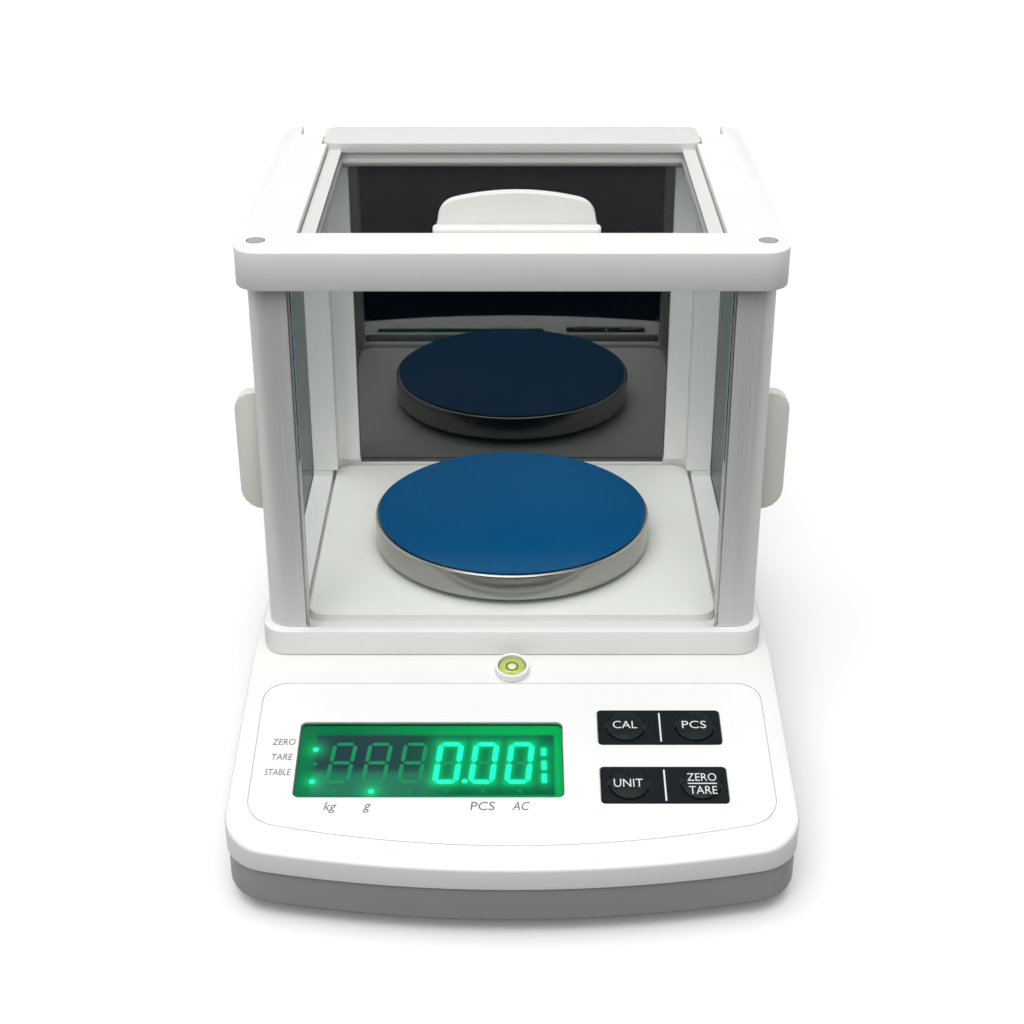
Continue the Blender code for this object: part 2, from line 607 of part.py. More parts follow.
def lower_housing():
    """Grey bottom tray with bosses for the feet, the screws and the load cell."""
    top = SPLIT_Z - CLEARANCE
    high = top + 2 * BEYOND
    shell = plate("lower_housing", [base_outline(LOWER_INSET)], (BASE_BOTTOM, high - BEYOND), GREY)
    round_edges(shell, BOTTOM_EDGE_ROUND)
    hollow = plate("lower_hollow", [base_outline(LOWER_INSET + LOWER_WALL)], (FLOOR_Z, high), is_cutter=True)
    cut(shell, level_slab("above_split", top, high), hollow)
    for name, place in corners(FOOT_FRONT, FOOT_REAR):
        join(shell, rod("foot_boss_" + name, FOOT_BOSS_RADIUS, (FLOOR_Z - BOSS_SINK, FOOT_BOSS_TOP), place,
                        is_cutter=True, steps=SMALL_STEPS))
        cut(shell, rod("foot_hole_" + name, FOOT_STUD_RADIUS + CLEARANCE, (0, FOOT_STUD_TOP), place,
                       is_cutter=True, steps=SMALL_STEPS))
    for name, place in corners(SCREW_FRONT, SCREW_REAR):
        join(shell, rod("lower_boss_" + name, SCREW_BOSS_RADIUS, (FLOOR_Z - BOSS_SINK, BOSS_MEET_Z), place,
                        is_cutter=True, steps=SMALL_STEPS))
        cut(shell, rod("lower_screw_hole_" + name, SCREW_RADIUS + CLEARANCE, (0, BOSS_MEET_Z + BEYOND), place,
                       is_cutter=True, steps=SMALL_STEPS))
        cut(shell, rod("screw_sink_" + name, SCREW_HEAD_RADIUS + CLEARANCE,
                       (0, BASE_BOTTOM + SCREW_SINK), place, is_cutter=True, steps=SMALL_STEPS))
    for x_sign in (-1, 1):
        for y_sign in (-1, 1):
            place = (MAIN_BOARD_CENTRE[0] + x_sign * (MAIN_BOARD_SIZE[0] / 2 - STANDOFF),
                     MAIN_BOARD_CENTRE[1] + y_sign * (MAIN_BOARD_SIZE[1] / 2 - STANDOFF))
            name = "standoff_%d_%d" % (x_sign, y_sign)
            join(shell, rod(name, STANDOFF / 2, (FLOOR_Z - BOSS_SINK, FLOOR_Z + STANDOFF), place,
                            is_cutter=True, steps=SMALL_STEPS))
    return shell


def control_overlay():
    """Printed sheet of the panel, cut out for the window and the key strips."""
    outlines = [overlay_outline(), box_outline(WINDOW_CENTRE, WINDOW_SIZE, WINDOW_CORNER, CLEARANCE)]
    for y in STRIP_ROWS.values():
        outlines.append(box_outline((STRIP_CENTRE_X, y), STRIP_SIZE, STRIP_CORNER, CLEARANCE))
    low = CLEARANCE - RECESS_DEPTH
    return plate("control_overlay", outlines, (low, low + OVERLAY_THICKNESS), WHITE, panel)


def key_strips():
    """Two black strips, each with two round holes for its keys."""
    low = CLEARANCE - RECESS_DEPTH
    for row, y in STRIP_ROWS.items():
        outlines = [box_outline((STRIP_CENTRE_X, y), STRIP_SIZE, STRIP_CORNER)]
        for x in KEY_COLUMNS:
            outlines.append(arc((x, y), KEY_RADIUS + KEY_GAP, 0, 2 * math.pi, SMOOTH_STEPS)[:-1])
        plate("key_strip_" + row, outlines, (low, low + STRIP_THICKNESS), BLACK, panel)


def keys():
    """Four round keys, each with a flange that stays under the panel and a rounded top."""
    flange_top = -UPPER_WALL - 2 * CLEARANCE
    for name, (x, y) in key_places():
        cap = rod(name, KEY_RADIUS, (flange_top - KEY_FLANGE_THICKNESS, KEY_PROUD), (x, y), BLACK, panel)
        round_edges(cap, KEY_ROUND, 2)
        join(cap, rod(name + "_flange", KEY_FLANGE_RADIUS, (flange_top - KEY_FLANGE_THICKNESS, flange_top),
                      (x, y), parent=panel, is_cutter=True, steps=ROUND_STEPS))


def display():
    """Green window, the digit module under it and the board that carries the module and key switches."""
    low = CLEARANCE - WINDOW_SEAT_DEPTH
    plate("display_window", [box_outline(WINDOW_CENTRE, WINDOW_SIZE, WINDOW_CORNER)],
          (low, low + WINDOW_THICKNESS), GREEN_LENS, panel)
    half_x = DISPLAY_MODULE_SIZE[0] / 2
    half_y = DISPLAY_MODULE_SIZE[1] / 2
    x, y = WINDOW_CENTRE
    block("display_module", ((x - half_x, x + half_x), (y - half_y, y + half_y),
                             (CLEARANCE - BOARD_DEPTH, -WINDOW_SEAT_DEPTH - CLEARANCE)), BLACK, panel)
    half_x = DISPLAY_BOARD_SIZE[0] / 2
    half_y = DISPLAY_BOARD_SIZE[1] / 2
    x, y = DISPLAY_BOARD_CENTRE
    board = block("display_board", ((x - half_x, x + half_x), (y - half_y, y + half_y),
                                    (-BOARD_DEPTH - BOARD_THICKNESS, -BOARD_DEPTH)), BOARD_GREEN, panel)
    half = TACT_SWITCH_SIZE / 2
    switch_top = -UPPER_WALL - 2 * CLEARANCE - KEY_FLANGE_THICKNESS - KEY_TRAVEL - KEY_REST_GAP
    for name, (x, y) in key_places():
        join(board, block(name + "_switch", ((x - half, x + half), (y - half, y + half),
                                             (-BOARD_DEPTH - BOARD_THICKNESS / 2, switch_top)),
                          parent=panel, is_cutter=True))


def spirit_level():
    """Ring that stands on the panel, with the level's stepped vial in its bore."""
    ring = [arc((0, LEVEL_CENTRE_Y), LEVEL_RING_RADIUS, 0, 2 * math.pi, SMOOTH_STEPS)[:-1],
            arc((0, LEVEL_CENTRE_Y), LEVEL_BORE, 0, 2 * math.pi, SMOOTH_STEPS)[:-1]]
    plate("level_ring", ring, (CLEARANCE, LEVEL_HEIGHT), WHITE, panel)
    rod("level_vial", LEVEL_BORE - CLEARANCE, (-LEVEL_VIAL_DEPTH, LEVEL_HEIGHT - LEVEL_VIAL_STEP),
        (0, LEVEL_CENTRE_Y), LIQUID, panel, steps=ROUND_STEPS)


def shield_base_frame():
    """Lower frame: seats for the columns, channels for the glass and a pocket for the chamber tray."""
    frame = plate("shield_base_frame",
                  [rounded_box(-BASE_FRAME_HALF, BASE_FRAME_HALF, SHIELD_FRONT, SHIELD_REAR, SHIELD_CORNER)],
                  (DECK_Z + CLEARANCE, BASE_FRAME_TOP), WHITE)
    round_edges(frame, SHIELD_EDGE_ROUND, 2)
    column_side = COLUMN_INNER - CLEARANCE
    lip = REAR_COLUMN_LIP - CLEARANCE
    column_face = REAR_COLUMN_FRONT - CLEARANCE
    well = mirrored([(column_side, FRONT_GLASS_Y + GLASS), (column_side, TRAY_FRONT),
                     (DOOR_INNER, TRAY_FRONT), (DOOR_INNER, column_face), (lip, column_face),
                     (lip, REAR_PANEL_Y)])
    high = BASE_FRAME_TOP + BEYOND
    cut(frame, plate("chamber_well", [well], (CHAMBER_FLOOR_Z, high), is_cutter=True))
    pocket = rounded_box(-TRAY_HALF - TRAY_GROOVE, TRAY_HALF + TRAY_GROOVE, TRAY_FRONT - TRAY_FRONT_GROOVE,
                         TRAY_REAR + TRAY_GROOVE, TRAY_CORNER)
    cut(frame, plate("tray_pocket", [pocket], (TRAY_POCKET_Z, high), is_cutter=True))
    cut(frame, *glass_channels("lower", (BASE_FRAME_TOP - SLOT_DEPTH, high)))
    cut(frame, rod("frame_stem_hole", STEM_HOLE, (DECK_Z - BEYOND, high), (0, PAN_Y), is_cutter=True,
                   steps=ROUND_STEPS))
    for name, place in corners(FRONT_ROD, REAR_ROD):
        cut(frame, rod("frame_rod_hole_" + name, ROD_RADIUS + CLEARANCE, (DECK_Z - BEYOND, high), place,
                       is_cutter=True, steps=SMALL_STEPS))
    return frame


def glass_channels(level, spans_z):
    """Slots for the front glass, the rear panel and the two doors, which run out at the rear."""
    made = []
    for end, half, y, thickness in (("front", FRONT_GLASS_HALF, FRONT_GLASS_Y, GLASS),
                                    ("rear", REAR_PANEL_HALF, REAR_PANEL_Y, REAR_PANEL)):
        made.append(block(end + "_slot_" + level,
                          ((-half - CLEARANCE, half + CLEARANCE), (y - CLEARANCE, y + thickness + CLEARANCE),
                           spans_z), is_cutter=True))
    for sign, side in ((-1, "left"), (1, "right")):
        spans = sorted((sign * (DOOR_INNER - CLEARANCE), sign * (DOOR_INNER + GLASS + CLEARANCE)))
        made.append(block("door_slot_%s_%s" % (level, side),
                          (spans, (DOOR_FRONT - CLEARANCE, SHIELD_REAR + BEYOND), spans_z),
                          is_cutter=True))
    return made


def chamber_tray():
    """Loose floor of the chamber, with a hole for the pan's stem."""
    tray = plate("chamber_tray", [rounded_box(-TRAY_HALF, TRAY_HALF, TRAY_FRONT, TRAY_REAR, TRAY_CORNER),
                                  arc((0, PAN_Y), STEM_HOLE, 0, 2 * math.pi, ROUND_STEPS)[:-1]],
                 (TRAY_POCKET_Z + CLEARANCE, CHAMBER_FLOOR_Z), WHITE)
    return tray


def columns():
    """Four aluminium extrusions: round-cornered in front, slotted for the rear panel behind."""
    span = (BASE_FRAME_TOP + CLEARANCE, TOP_FRAME_BOTTOM - CLEARANCE)
    back = COLUMN_FRONT + COLUMN_DEPTH
    centre = (COLUMN_OUTER - COLUMN_CORNER, COLUMN_FRONT + COLUMN_CORNER)
    front = ([(COLUMN_INNER, back), (COLUMN_INNER, COLUMN_FRONT)]
             + arc(centre, COLUMN_CORNER, -math.pi / 2, 0, 10) + [(COLUMN_OUTER, back)])
    slot_front = REAR_PANEL_Y - CLEARANCE
    slot_rear = REAR_PANEL_Y + REAR_PANEL + CLEARANCE
    slot_end = REAR_PANEL_HALF + 2 * CLEARANCE
    rear = [(COLUMN_INNER, REAR_COLUMN_FRONT), (REAR_COLUMN_OUTER, REAR_COLUMN_FRONT),
            (REAR_COLUMN_OUTER, SHIELD_REAR), (REAR_COLUMN_LIP, SHIELD_REAR), (REAR_COLUMN_LIP, slot_rear),
            (slot_end, slot_rear), (slot_end, slot_front), (REAR_COLUMN_LIP, slot_front),
            (REAR_COLUMN_LIP, REAR_COLUMN_STEP_Y), (COLUMN_INNER, REAR_COLUMN_STEP_Y)]
    for outline, place, end in ((front, FRONT_ROD, "front"), (rear, REAR_ROD, "rear")):
        hole = arc(place, ROD_RADIUS + CLEARANCE, 0, 2 * math.pi, ROUND_STEPS)[:-1]
        for sign, side in ((-1, "left"), (1, "right")):
            shapes = [[(sign * x, y) for x, y in points] for points in (outline, hole)]
            plate("column_%s_%s" % (end, side), shapes, span, ALUMINIUM)


def shield_top_frame():
    """Upper frame: a bay for the sliding cover, open at the rear between two ears."""
    outline = rounded_box(-TOP_FRAME_HALF, TOP_FRAME_HALF, TOP_FRAME_FRONT, TOP_FRAME_REAR, SHIELD_CORNER)
    frame = plate("shield_top_frame", [outline], (TOP_FRAME_BOTTOM, TOP_FRAME_TOP), WHITE)
    round_edges(frame, SHIELD_EDGE_ROUND, 2)
    low = TOP_FRAME_BOTTOM - BEYOND
    high = TOP_FRAME_TOP + BEYOND
    opening = BAY_HALF - LEDGE
    through = block("top_opening", ((-opening, opening), (BAY_FRONT + LEDGE, CROSS_BAR_FRONT), (low, high)),
                    is_cutter=True)
    wide_half = BAY_HALF + COVER_BAR_EXTRA + CLEARANCE
    ear = arc((NOTCH_HALF - NOTCH_ROUND, NOTCH_FRONT + NOTCH_ROUND), NOTCH_ROUND, -math.pi / 2, 0, 6)
    bay = mirrored([(BAY_HALF, BAY_FRONT), (BAY_HALF, BAY_REAR), (wide_half, BAY_REAR),
                    (wide_half, NOTCH_FRONT)] + ear + [(NOTCH_HALF, TOP_FRAME_REAR + BEYOND)])
    bay_cut = plate("cover_bay", [bay], (BAY_FLOOR_Z, high), is_cutter=True)
    cut(frame, through)
    combine(frame, "DIFFERENCE", [bay_cut], "MANIFOLD")
    cut(frame, *glass_channels("upper", (low, TOP_FRAME_BOTTOM + SLOT_DEPTH)))
    groove_half = BAY_HALF + GROOVE_DEPTH
    cut(frame, block("cover_groove", ((-groove_half, groove_half), (BAY_FRONT + LEDGE, BAY_REAR + BEYOND),
                                      (GROOVE_LOW, GROOVE_LOW + GROOVE_HEIGHT)), is_cutter=True))
    for sign, side in ((-1, "left"), (1, "right")):
        place = (sign * FRONT_ROD[0], FRONT_ROD[1])
        cut(frame, rod("top_rod_hole_" + side, ROD_RADIUS + CLEARANCE, (low, TOP_FRAME_TOP - PLUG_THICKNESS),
                       place, is_cutter=True, steps=SMALL_STEPS))
        head_floor = TOP_FRAME_TOP - PLUG_THICKNESS - ROD_HEAD - CLEARANCE
        cut(frame, rod("plug_hole_" + side, ROD_HEAD_RADIUS + CLEARANCE, (head_floor, high), place,
                       is_cutter=True, steps=ROUND_STEPS))
        place = (sign * REAR_ROD[0], REAR_ROD[1])
        cut(frame, rod("top_blind_hole_" + side, ROD_RADIUS + CLEARANCE, (low, BAY_FLOOR_Z), place,
                       is_cutter=True, steps=SMALL_STEPS))
    return frame


def shield_rods():
    """Long screws: headed on top in front, under the plugs, and headed under the deck at the rear."""
    low = DECK_Z - UPPER_WALL - CLEARANCE
    for sign, side in ((-1, "left"), (1, "right")):
        place = (sign * FRONT_ROD[0], FRONT_ROD[1])
        head = (TOP_FRAME_TOP - PLUG_THICKNESS - ROD_HEAD, TOP_FRAME_TOP - PLUG_THICKNESS - CLEARANCE)
        made = rod("column_screw_front_" + side, ROD_RADIUS, (low, head[0] + ROD_HEAD / 2), place, ZINC,
                   steps=SMALL_STEPS)
        join(made, rod("front_screw_head_" + side, ROD_HEAD_RADIUS, head, place, is_cutter=True,
                       steps=SMALL_STEPS))
        rod("corner_plug_" + side, PLUG_RADIUS, (TOP_FRAME_TOP - PLUG_THICKNESS, TOP_FRAME_TOP), place, GREY,
            steps=ROUND_STEPS)
        place = (sign * REAR_ROD[0], REAR_ROD[1])
        made = rod("column_screw_rear_" + side, ROD_RADIUS, (low - ROD_HEAD / 2, BAY_FLOOR_Z - CLEARANCE),
                   place, ZINC, steps=SMALL_STEPS)
        join(made, rod("rear_screw_head_" + side, ROD_HEAD_RADIUS, (low - ROD_HEAD, low), place,
                       is_cutter=True, steps=SMALL_STEPS))


def fixed_glass():
    """Clear front pane and dark mirror panel behind the pan."""
    low = BASE_FRAME_TOP - SLOT_DEPTH + CLEARANCE
    high = TOP_FRAME_BOTTOM + SLOT_DEPTH - CLEARANCE
    block("front_glass", ((-FRONT_GLASS_HALF, FRONT_GLASS_HALF), (FRONT_GLASS_Y, FRONT_GLASS_Y + GLASS),
                          (low, high)), CLEAR_GLASS)
    block("rear_panel", ((-REAR_PANEL_HALF, REAR_PANEL_HALF), (REAR_PANEL_Y, REAR_PANEL_Y + REAR_PANEL),
                         (low, high)), DARK_GLASS)


def doors():
    """Two sliding side panes, each with a handle whose grip tapers towards its lower end."""
    low = BASE_FRAME_TOP - SLOT_DEPTH + CLEARANCE
    high = TOP_FRAME_BOTTOM + SLOT_DEPTH - CLEARANCE
    inner = DOOR_INNER + GLASS + CLEARANCE
    outer = DOOR_INNER + GLASS + DOOR_HANDLE_REACH
    lower = (inner + DOOR_HANDLE_LOWER_REACH - DOOR_HANDLE_LOWER_ROUND,
             DOOR_HANDLE_LOW + DOOR_HANDLE_LOWER_ROUND)
    upper = (outer - DOOR_HANDLE_UPPER_ROUND, DOOR_HANDLE_HIGH - DOOR_HANDLE_UPPER_ROUND)
    quarter = math.pi / 2
    grip = ([(inner, DOOR_HANDLE_LOW)] + arc(lower, DOOR_HANDLE_LOWER_ROUND, -quarter, 0, 5)
            + arc(upper, DOOR_HANDLE_UPPER_ROUND, 0, quarter, 6) + [(inner, DOOR_HANDLE_HIGH)])
    for sign, side in ((-1, "left"), (1, "right")):
        slide = empty(side + "_door_slide", (0, 0, 0))
        spans = sorted((sign * DOOR_INNER, sign * (DOOR_INNER + GLASS)))
        block("door_glass_" + side, (spans, (DOOR_FRONT, DOOR_REAR), (low, high)), CLEAR_GLASS, slide)
        outline = [(sign * x, z) for x, z in grip]
        handle = front_plate("door_handle_" + side, [outline],
                             (DOOR_HANDLE_FRONT, DOOR_HANDLE_FRONT + DOOR_HANDLE_DEPTH), WHITE)
        handle.parent = slide
        round_edges(handle, DOOR_HANDLE_EDGE_ROUND, 2, 50)


def top_cover():
    """Sliding cover: two side strips and a front strip round the glass, a rear bar and a handle."""
    frame_low = BAY_FLOOR_Z + CLEARANCE
    half = BAY_HALF - 2 * CLEARANCE
    inner = half - COVER_STRIP
    front = BAY_FRONT + CLEARANCE
    bar_front = BAY_REAR + CLEARANCE
    bar_rear = bar_front + COVER_BAR_DEPTH
    bar_half = BAY_HALF + COVER_BAR_EXTRA
    slide = empty("top_cover_slide", (0, 0, 0))
    ring = [rectangle(half, front, bar_rear - COVER_BAR_CORNER),
            rectangle(inner, front + COVER_STRIP, bar_front)]
    frame = plate("cover_frame", ring, (frame_low, COVER_STRIP_TOP), WHITE, slide)
    bar = plate("cover_bar", [rounded_box(-bar_half, bar_half, bar_front, bar_rear, COVER_BAR_CORNER)],
                (frame_low, TOP_FRAME_TOP), is_cutter=True)
    round_edges(bar, SHIELD_EDGE_ROUND, 2)
    join(frame, bar)
    for sign, side in ((-1, "left"), (1, "right")):
        spans = sorted((sign * (half - COVER_STRIP / 2), sign * (BAY_HALF + GROOVE_DEPTH - CLEARANCE)))
        join(frame, block("cover_tongue_" + side,
                          (spans, (BAY_FRONT + LEDGE + CLEARANCE, bar_front + BEYOND),
                           (GROOVE_LOW + CLEARANCE, GROOVE_LOW + GROOVE_HEIGHT - CLEARANCE)), is_cutter=True))
    glass_low = frame_low + COVER_GLASS_SILL
    rebate_half = inner + COVER_GLASS_REBATE
    rebate_front = front + COVER_STRIP - COVER_GLASS_REBATE
    rebate_rear = bar_front + COVER_GLASS_REBATE
    cut(frame, block("cover_glass_groove", ((-rebate_half, rebate_half), (rebate_front, rebate_rear),
                                            (glass_low, glass_low + GLASS)), is_cutter=True))
    block("cover_glass", ((-rebate_half + CLEARANCE, rebate_half - CLEARANCE),
                          (rebate_front + CLEARANCE, rebate_rear - CLEARANCE),
                          (glass_low + CLEARANCE, glass_low + GLASS - CLEARANCE)), CLEAR_GLASS, slide)
    tab = bowed_outline(COVER_HANDLE_HALF - COVER_HANDLE_TAPER, COVER_HANDLE_HALF, -COVER_HANDLE_TOP,
                        -glass_low - GLASS, COVER_HANDLE_BOW, COVER_HANDLE_CORNER, COVER_HANDLE_EDGE_ROUND)
    outline = [(COVER_HANDLE_X + x, -z) for x, z in tab]
    handle_front = front + COVER_STRIP + CLEARANCE
    handle = front_plate("cover_handle", [outline], (handle_front, handle_front + COVER_HANDLE_THICKNESS),
                         WHITE)
    handle.parent = slide
    round_edges(handle, COVER_HANDLE_EDGE_ROUND, 2, 50)


def weighing_pan():
    """Turned steel cup upside down, its blue film, and the carrier that stands on the load cell."""
    top = PAN_TOP
    low = PAN_TOP - PAN_RIM
    inner = PAN_RADIUS - PAN_SHEET
    edge = arc((PAN_RADIUS - PAN_EDGE_ROUND, top - PAN_EDGE_ROUND), PAN_EDGE_ROUND, math.pi / 2, 0, 4)
    profile = ([(0, top)] + edge
               + [(PAN_RADIUS, low), (inner, low), (inner, top - PAN_SHEET), (0, top - PAN_SHEET)])
    turned("weighing_pan", profile, STEEL, (0, PAN_Y))
    film_low = top + CLEARANCE
    rod("pan_film", FILM_RADIUS, (film_low, film_low + FILM_THICKNESS), (0, PAN_Y), BLUE_FILM,
        steps=FINE_STEPS)
    rim_top = top - PAN_SHEET - CLEARANCE
    plate_top = rim_top - CARRIER_RIM_HEIGHT
    plate_low = plate_top - CARRIER_PLATE
    stem_low = CELL_BOTTOM + CELL_SIZE[2] + CELL_GAP
    rim_inner = CARRIER_RADIUS - CARRIER_RIM
    profile = [(0, plate_top), (rim_inner, plate_top), (rim_inner, rim_top),
               (CARRIER_RADIUS, rim_top), (CARRIER_RADIUS, plate_low), (STEM_RADIUS, plate_low),
               (STEM_RADIUS, stem_low), (0, stem_low)]
    turned("pan_carrier", profile, ALUMINIUM, (0, PAN_Y), SMOOTH_STEPS)


def load_cell():
    """Aluminium bending beam with its two joined holes, on a block at its fixed end."""
    half_x = CELL_SIZE[0] / 2
    rear = PAN_Y + CELL_OVERHANG
    front = rear - CELL_SIZE[1]
    middle_y = (front + rear) / 2
    middle_z = CELL_BOTTOM + CELL_SIZE[2] / 2
    lobe = math.asin(CELL_HOLE_WAIST / 2 / CELL_HOLE)
    hole = (arc((middle_y + CELL_HOLE_SPACING / 2, middle_z), CELL_HOLE, -math.pi + lobe, math.pi - lobe, 20)
            + arc((middle_y - CELL_HOLE_SPACING / 2, middle_z), CELL_HOLE, lobe, 2 * math.pi - lobe, 20))
    outline = [(front, CELL_BOTTOM), (rear, CELL_BOTTOM), (rear, CELL_BOTTOM + CELL_SIZE[2]),
               (front, CELL_BOTTOM + CELL_SIZE[2])]
    side_plate("load_cell", [outline, hole], (-half_x, half_x), ALUMINIUM)
    block("load_cell_block", ((-half_x, half_x), (front, front + CELL_BLOCK_LENGTH),
                              (FLOOR_Z + CLEARANCE, CELL_BOTTOM - CLEARANCE)), ALUMINIUM)


def inside_parts():
    """Rechargeable battery and main circuit board on the floor of the lower housing."""
    half_x = BATTERY_SIZE[0] / 2
    half_y = BATTERY_SIZE[1] / 2
    x, y = BATTERY_CENTRE
    cell = block("battery", ((x - half_x, x + half_x), (y - half_y, y + half_y),
                             (FLOOR_Z + CLEARANCE, FLOOR_Z + CLEARANCE + BATTERY_SIZE[2])), BLACK)
    round_edges(cell, CASE_ROUND, 2)
    half_x = MAIN_BOARD_SIZE[0] / 2
    half_y = MAIN_BOARD_SIZE[1] / 2
    x, y = MAIN_BOARD_CENTRE
    board_low = FLOOR_Z + STANDOFF + CLEARANCE
    block("main_board", ((x - half_x, x + half_x), (y - half_y, y + half_y),
                         (board_low, board_low + BOARD_THICKNESS)), BOARD_GREEN)


def feet_and_screws():
    """Four levelling feet with studs, and the four screws that close the housing."""
    for name, place in corners(FOOT_FRONT, FOOT_REAR):
        foot = rod("levelling_foot_" + name, FOOT_RADIUS, (0, FOOT_HEIGHT), place, RUBBER, steps=ROUND_STEPS)
        round_edges(foot, FOOT_ROUND, 1)
        stud = (FOOT_HEIGHT - FOOT_ROUND, FOOT_STUD_TOP)
        join(foot, rod("foot_stud_" + name, FOOT_STUD_RADIUS, stud, place, is_cutter=True, steps=SMALL_STEPS))
    head_low = BASE_BOTTOM + CLEARANCE
    for name, place in corners(SCREW_FRONT, SCREW_REAR):
        screw = rod("housing_screw_" + name, SCREW_HEAD_RADIUS, (head_low, head_low + SCREW_HEAD - CLEARANCE),
                    place, ZINC, steps=SMALL_STEPS)
        shank = (head_low + SCREW_HEAD / 2, head_low + SCREW_LENGTH)
        join(screw, rod("screw_shank_" + name, SCREW_RADIUS, shank, place, is_cutter=True, steps=SMALL_STEPS))


def rear_fittings():
    """Power rocker in its case and the low-voltage socket, both in the rear wall."""
    half_x = SWITCH_SIZE[0] / 2 - CLEARANCE
    half_z = SWITCH_SIZE[1] / 2 - CLEARANCE
    rim_y = BASE_REAR + CLEARANCE
    case = block("switch_case", ((SWITCH_X - half_x, SWITCH_X + half_x),
                                 (BASE_REAR - SWITCH_DEPTH, rim_y + SWITCH_FLANGE / 2),
                                 (REAR_FITTING_Z - half_z, REAR_FITTING_Z + half_z)), BLACK)
    rim_x = half_x + SWITCH_FLANGE
    rim_z = half_z + SWITCH_FLANGE
    rim = block("switch_rim", ((SWITCH_X - rim_x, SWITCH_X + rim_x), (rim_y, rim_y + SWITCH_FLANGE),
                               (REAR_FITTING_Z - rim_z, REAR_FITTING_Z + rim_z)), is_cutter=True)
    well_x = half_x - SWITCH_RIM
    well_z = half_z - SWITCH_RIM
    well = block("switch_well", ((SWITCH_X - well_x, SWITCH_X + well_x),
                                 (BASE_REAR - SWITCH_WELL, BASE_REAR + BEYOND),
                                 (REAR_FITTING_Z - well_z, REAR_FITTING_Z + well_z)), is_cutter=True)
    join(case, rim)
    cut(case, well)
    rocker_x = well_x - CLEARANCE
    rocker_z = well_z - ROCKER_END_GAP
    pivot = empty("rocker_pivot", (SWITCH_X, BASE_REAR - ROCKER_PIVOT_DEPTH, REAR_FITTING_Z), -ROCKER_TILT)
    side_y = ROCKER_EDGE - ROCKER_SIDE
    outline = [(ROCKER_EDGE, -rocker_z), (side_y, -rocker_z), (-ROCKER_KEEL, 0), (side_y, rocker_z),
               (ROCKER_EDGE, rocker_z), (ROCKER_EDGE - ROCKER_DISH, 0)]
    rocker = side_plate("power_rocker", [outline], (-rocker_x, rocker_x), BLACK)
    rocker.parent = pivot
    back = BASE_REAR - SOCKET_LENGTH
    socket = rod_along_y("dc_socket", SOCKET_RADIUS, (back, BASE_REAR + SOCKET_PROUD), SOCKET_X,
                         REAR_FITTING_Z, BLACK)
    cut(socket, rod_along_y("socket_bore", SOCKET_BORE, (back + SOCKET_BACK, BASE_REAR + BEYOND), SOCKET_X,
                            REAR_FITTING_Z, is_cutter=True))
    join(socket, rod_along_y("socket_pin", SOCKET_PIN, (back + SOCKET_BACK / 2, BASE_REAR - SOCKET_PIN),
                             SOCKET_X, REAR_FITTING_Z, is_cutter=True, steps=SMALL_STEPS))


upper_housing()
lower_housing()
control_overlay()
key_strips()
keys()
display()
spirit_level()
shield_base_frame()
chamber_tray()
columns()
shield_top_frame()
shield_rods()
fixed_glass()
doors()
top_cover()
weighing_pan()
load_cell()
inside_parts()
feet_and_screws()
rear_fittings()
bpy.context.view_layer.update()
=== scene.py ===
"""Jewellery scale with a glass draught shield, dressed for rendering.

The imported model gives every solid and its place. This script adds the materials, the display, the lettering,
finer pieces over some of the plain ones, a pale floor, soft light and the camera. Lengths are in metres.
"""
import math

import bmesh
import bpy
from mathutils import Matrix, Vector

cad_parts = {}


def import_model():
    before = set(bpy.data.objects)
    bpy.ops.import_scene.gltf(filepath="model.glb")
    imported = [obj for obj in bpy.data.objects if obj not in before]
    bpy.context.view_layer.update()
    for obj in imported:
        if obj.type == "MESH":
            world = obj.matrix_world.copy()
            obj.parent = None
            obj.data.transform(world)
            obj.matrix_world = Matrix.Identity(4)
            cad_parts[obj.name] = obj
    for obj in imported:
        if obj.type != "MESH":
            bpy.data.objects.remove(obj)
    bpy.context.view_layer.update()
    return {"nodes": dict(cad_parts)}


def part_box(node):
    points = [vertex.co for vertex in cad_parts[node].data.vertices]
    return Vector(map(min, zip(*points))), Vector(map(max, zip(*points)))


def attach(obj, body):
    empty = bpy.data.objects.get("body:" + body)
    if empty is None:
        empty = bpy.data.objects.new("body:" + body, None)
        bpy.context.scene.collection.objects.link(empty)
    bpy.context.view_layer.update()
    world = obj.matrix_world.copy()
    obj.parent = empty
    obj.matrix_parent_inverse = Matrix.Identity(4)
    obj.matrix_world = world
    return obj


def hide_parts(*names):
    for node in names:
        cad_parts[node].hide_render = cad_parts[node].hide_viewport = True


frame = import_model()
nodes = frame["nodes"]

MM = 0.001
PANEL_CREASE = (0, -36 * MM, 50.5 * MM)
PANEL_SLOPE = math.radians(11.9)
PANEL = Matrix.Translation(PANEL_CREASE) @ Matrix.Rotation(PANEL_SLOPE, 4, "X")
UPRIGHT = Matrix.Identity(4)
KEY_TOP = 1.2 * MM
STRIP_TOP = 0.3 * MM
PRINT = 0.05 * MM
SHARP_ON_SOLIDS = math.radians(38)
SHARP_ON_PIECES = math.radians(35)
NOISE_SPAN = (0.35, 0.65)


# Colours, written as they look on a screen from 0 to 255

def tone(red, green, blue):
    """Linear colour of a screen colour."""
    def level(value):
        value /= 255
        return value / 12.92 if value <= 0.04045 else ((value + 0.055) / 1.055) ** 2.4
    return (level(red), level(green), level(blue))


# Materials

def surface(name, colour, roughness, **sockets):
    """A Principled material, with further sockets given by their names with underscores."""
    made = bpy.data.materials.new(name)
    made.use_nodes = True
    shader = made.node_tree.nodes["Principled BSDF"]
    shader.inputs["Base Color"].default_value = (*colour, 1)
    shader.inputs["Roughness"].default_value = roughness
    for socket, value in sockets.items():
        shader.inputs[socket.replace("_", " ")].default_value = value
    return made


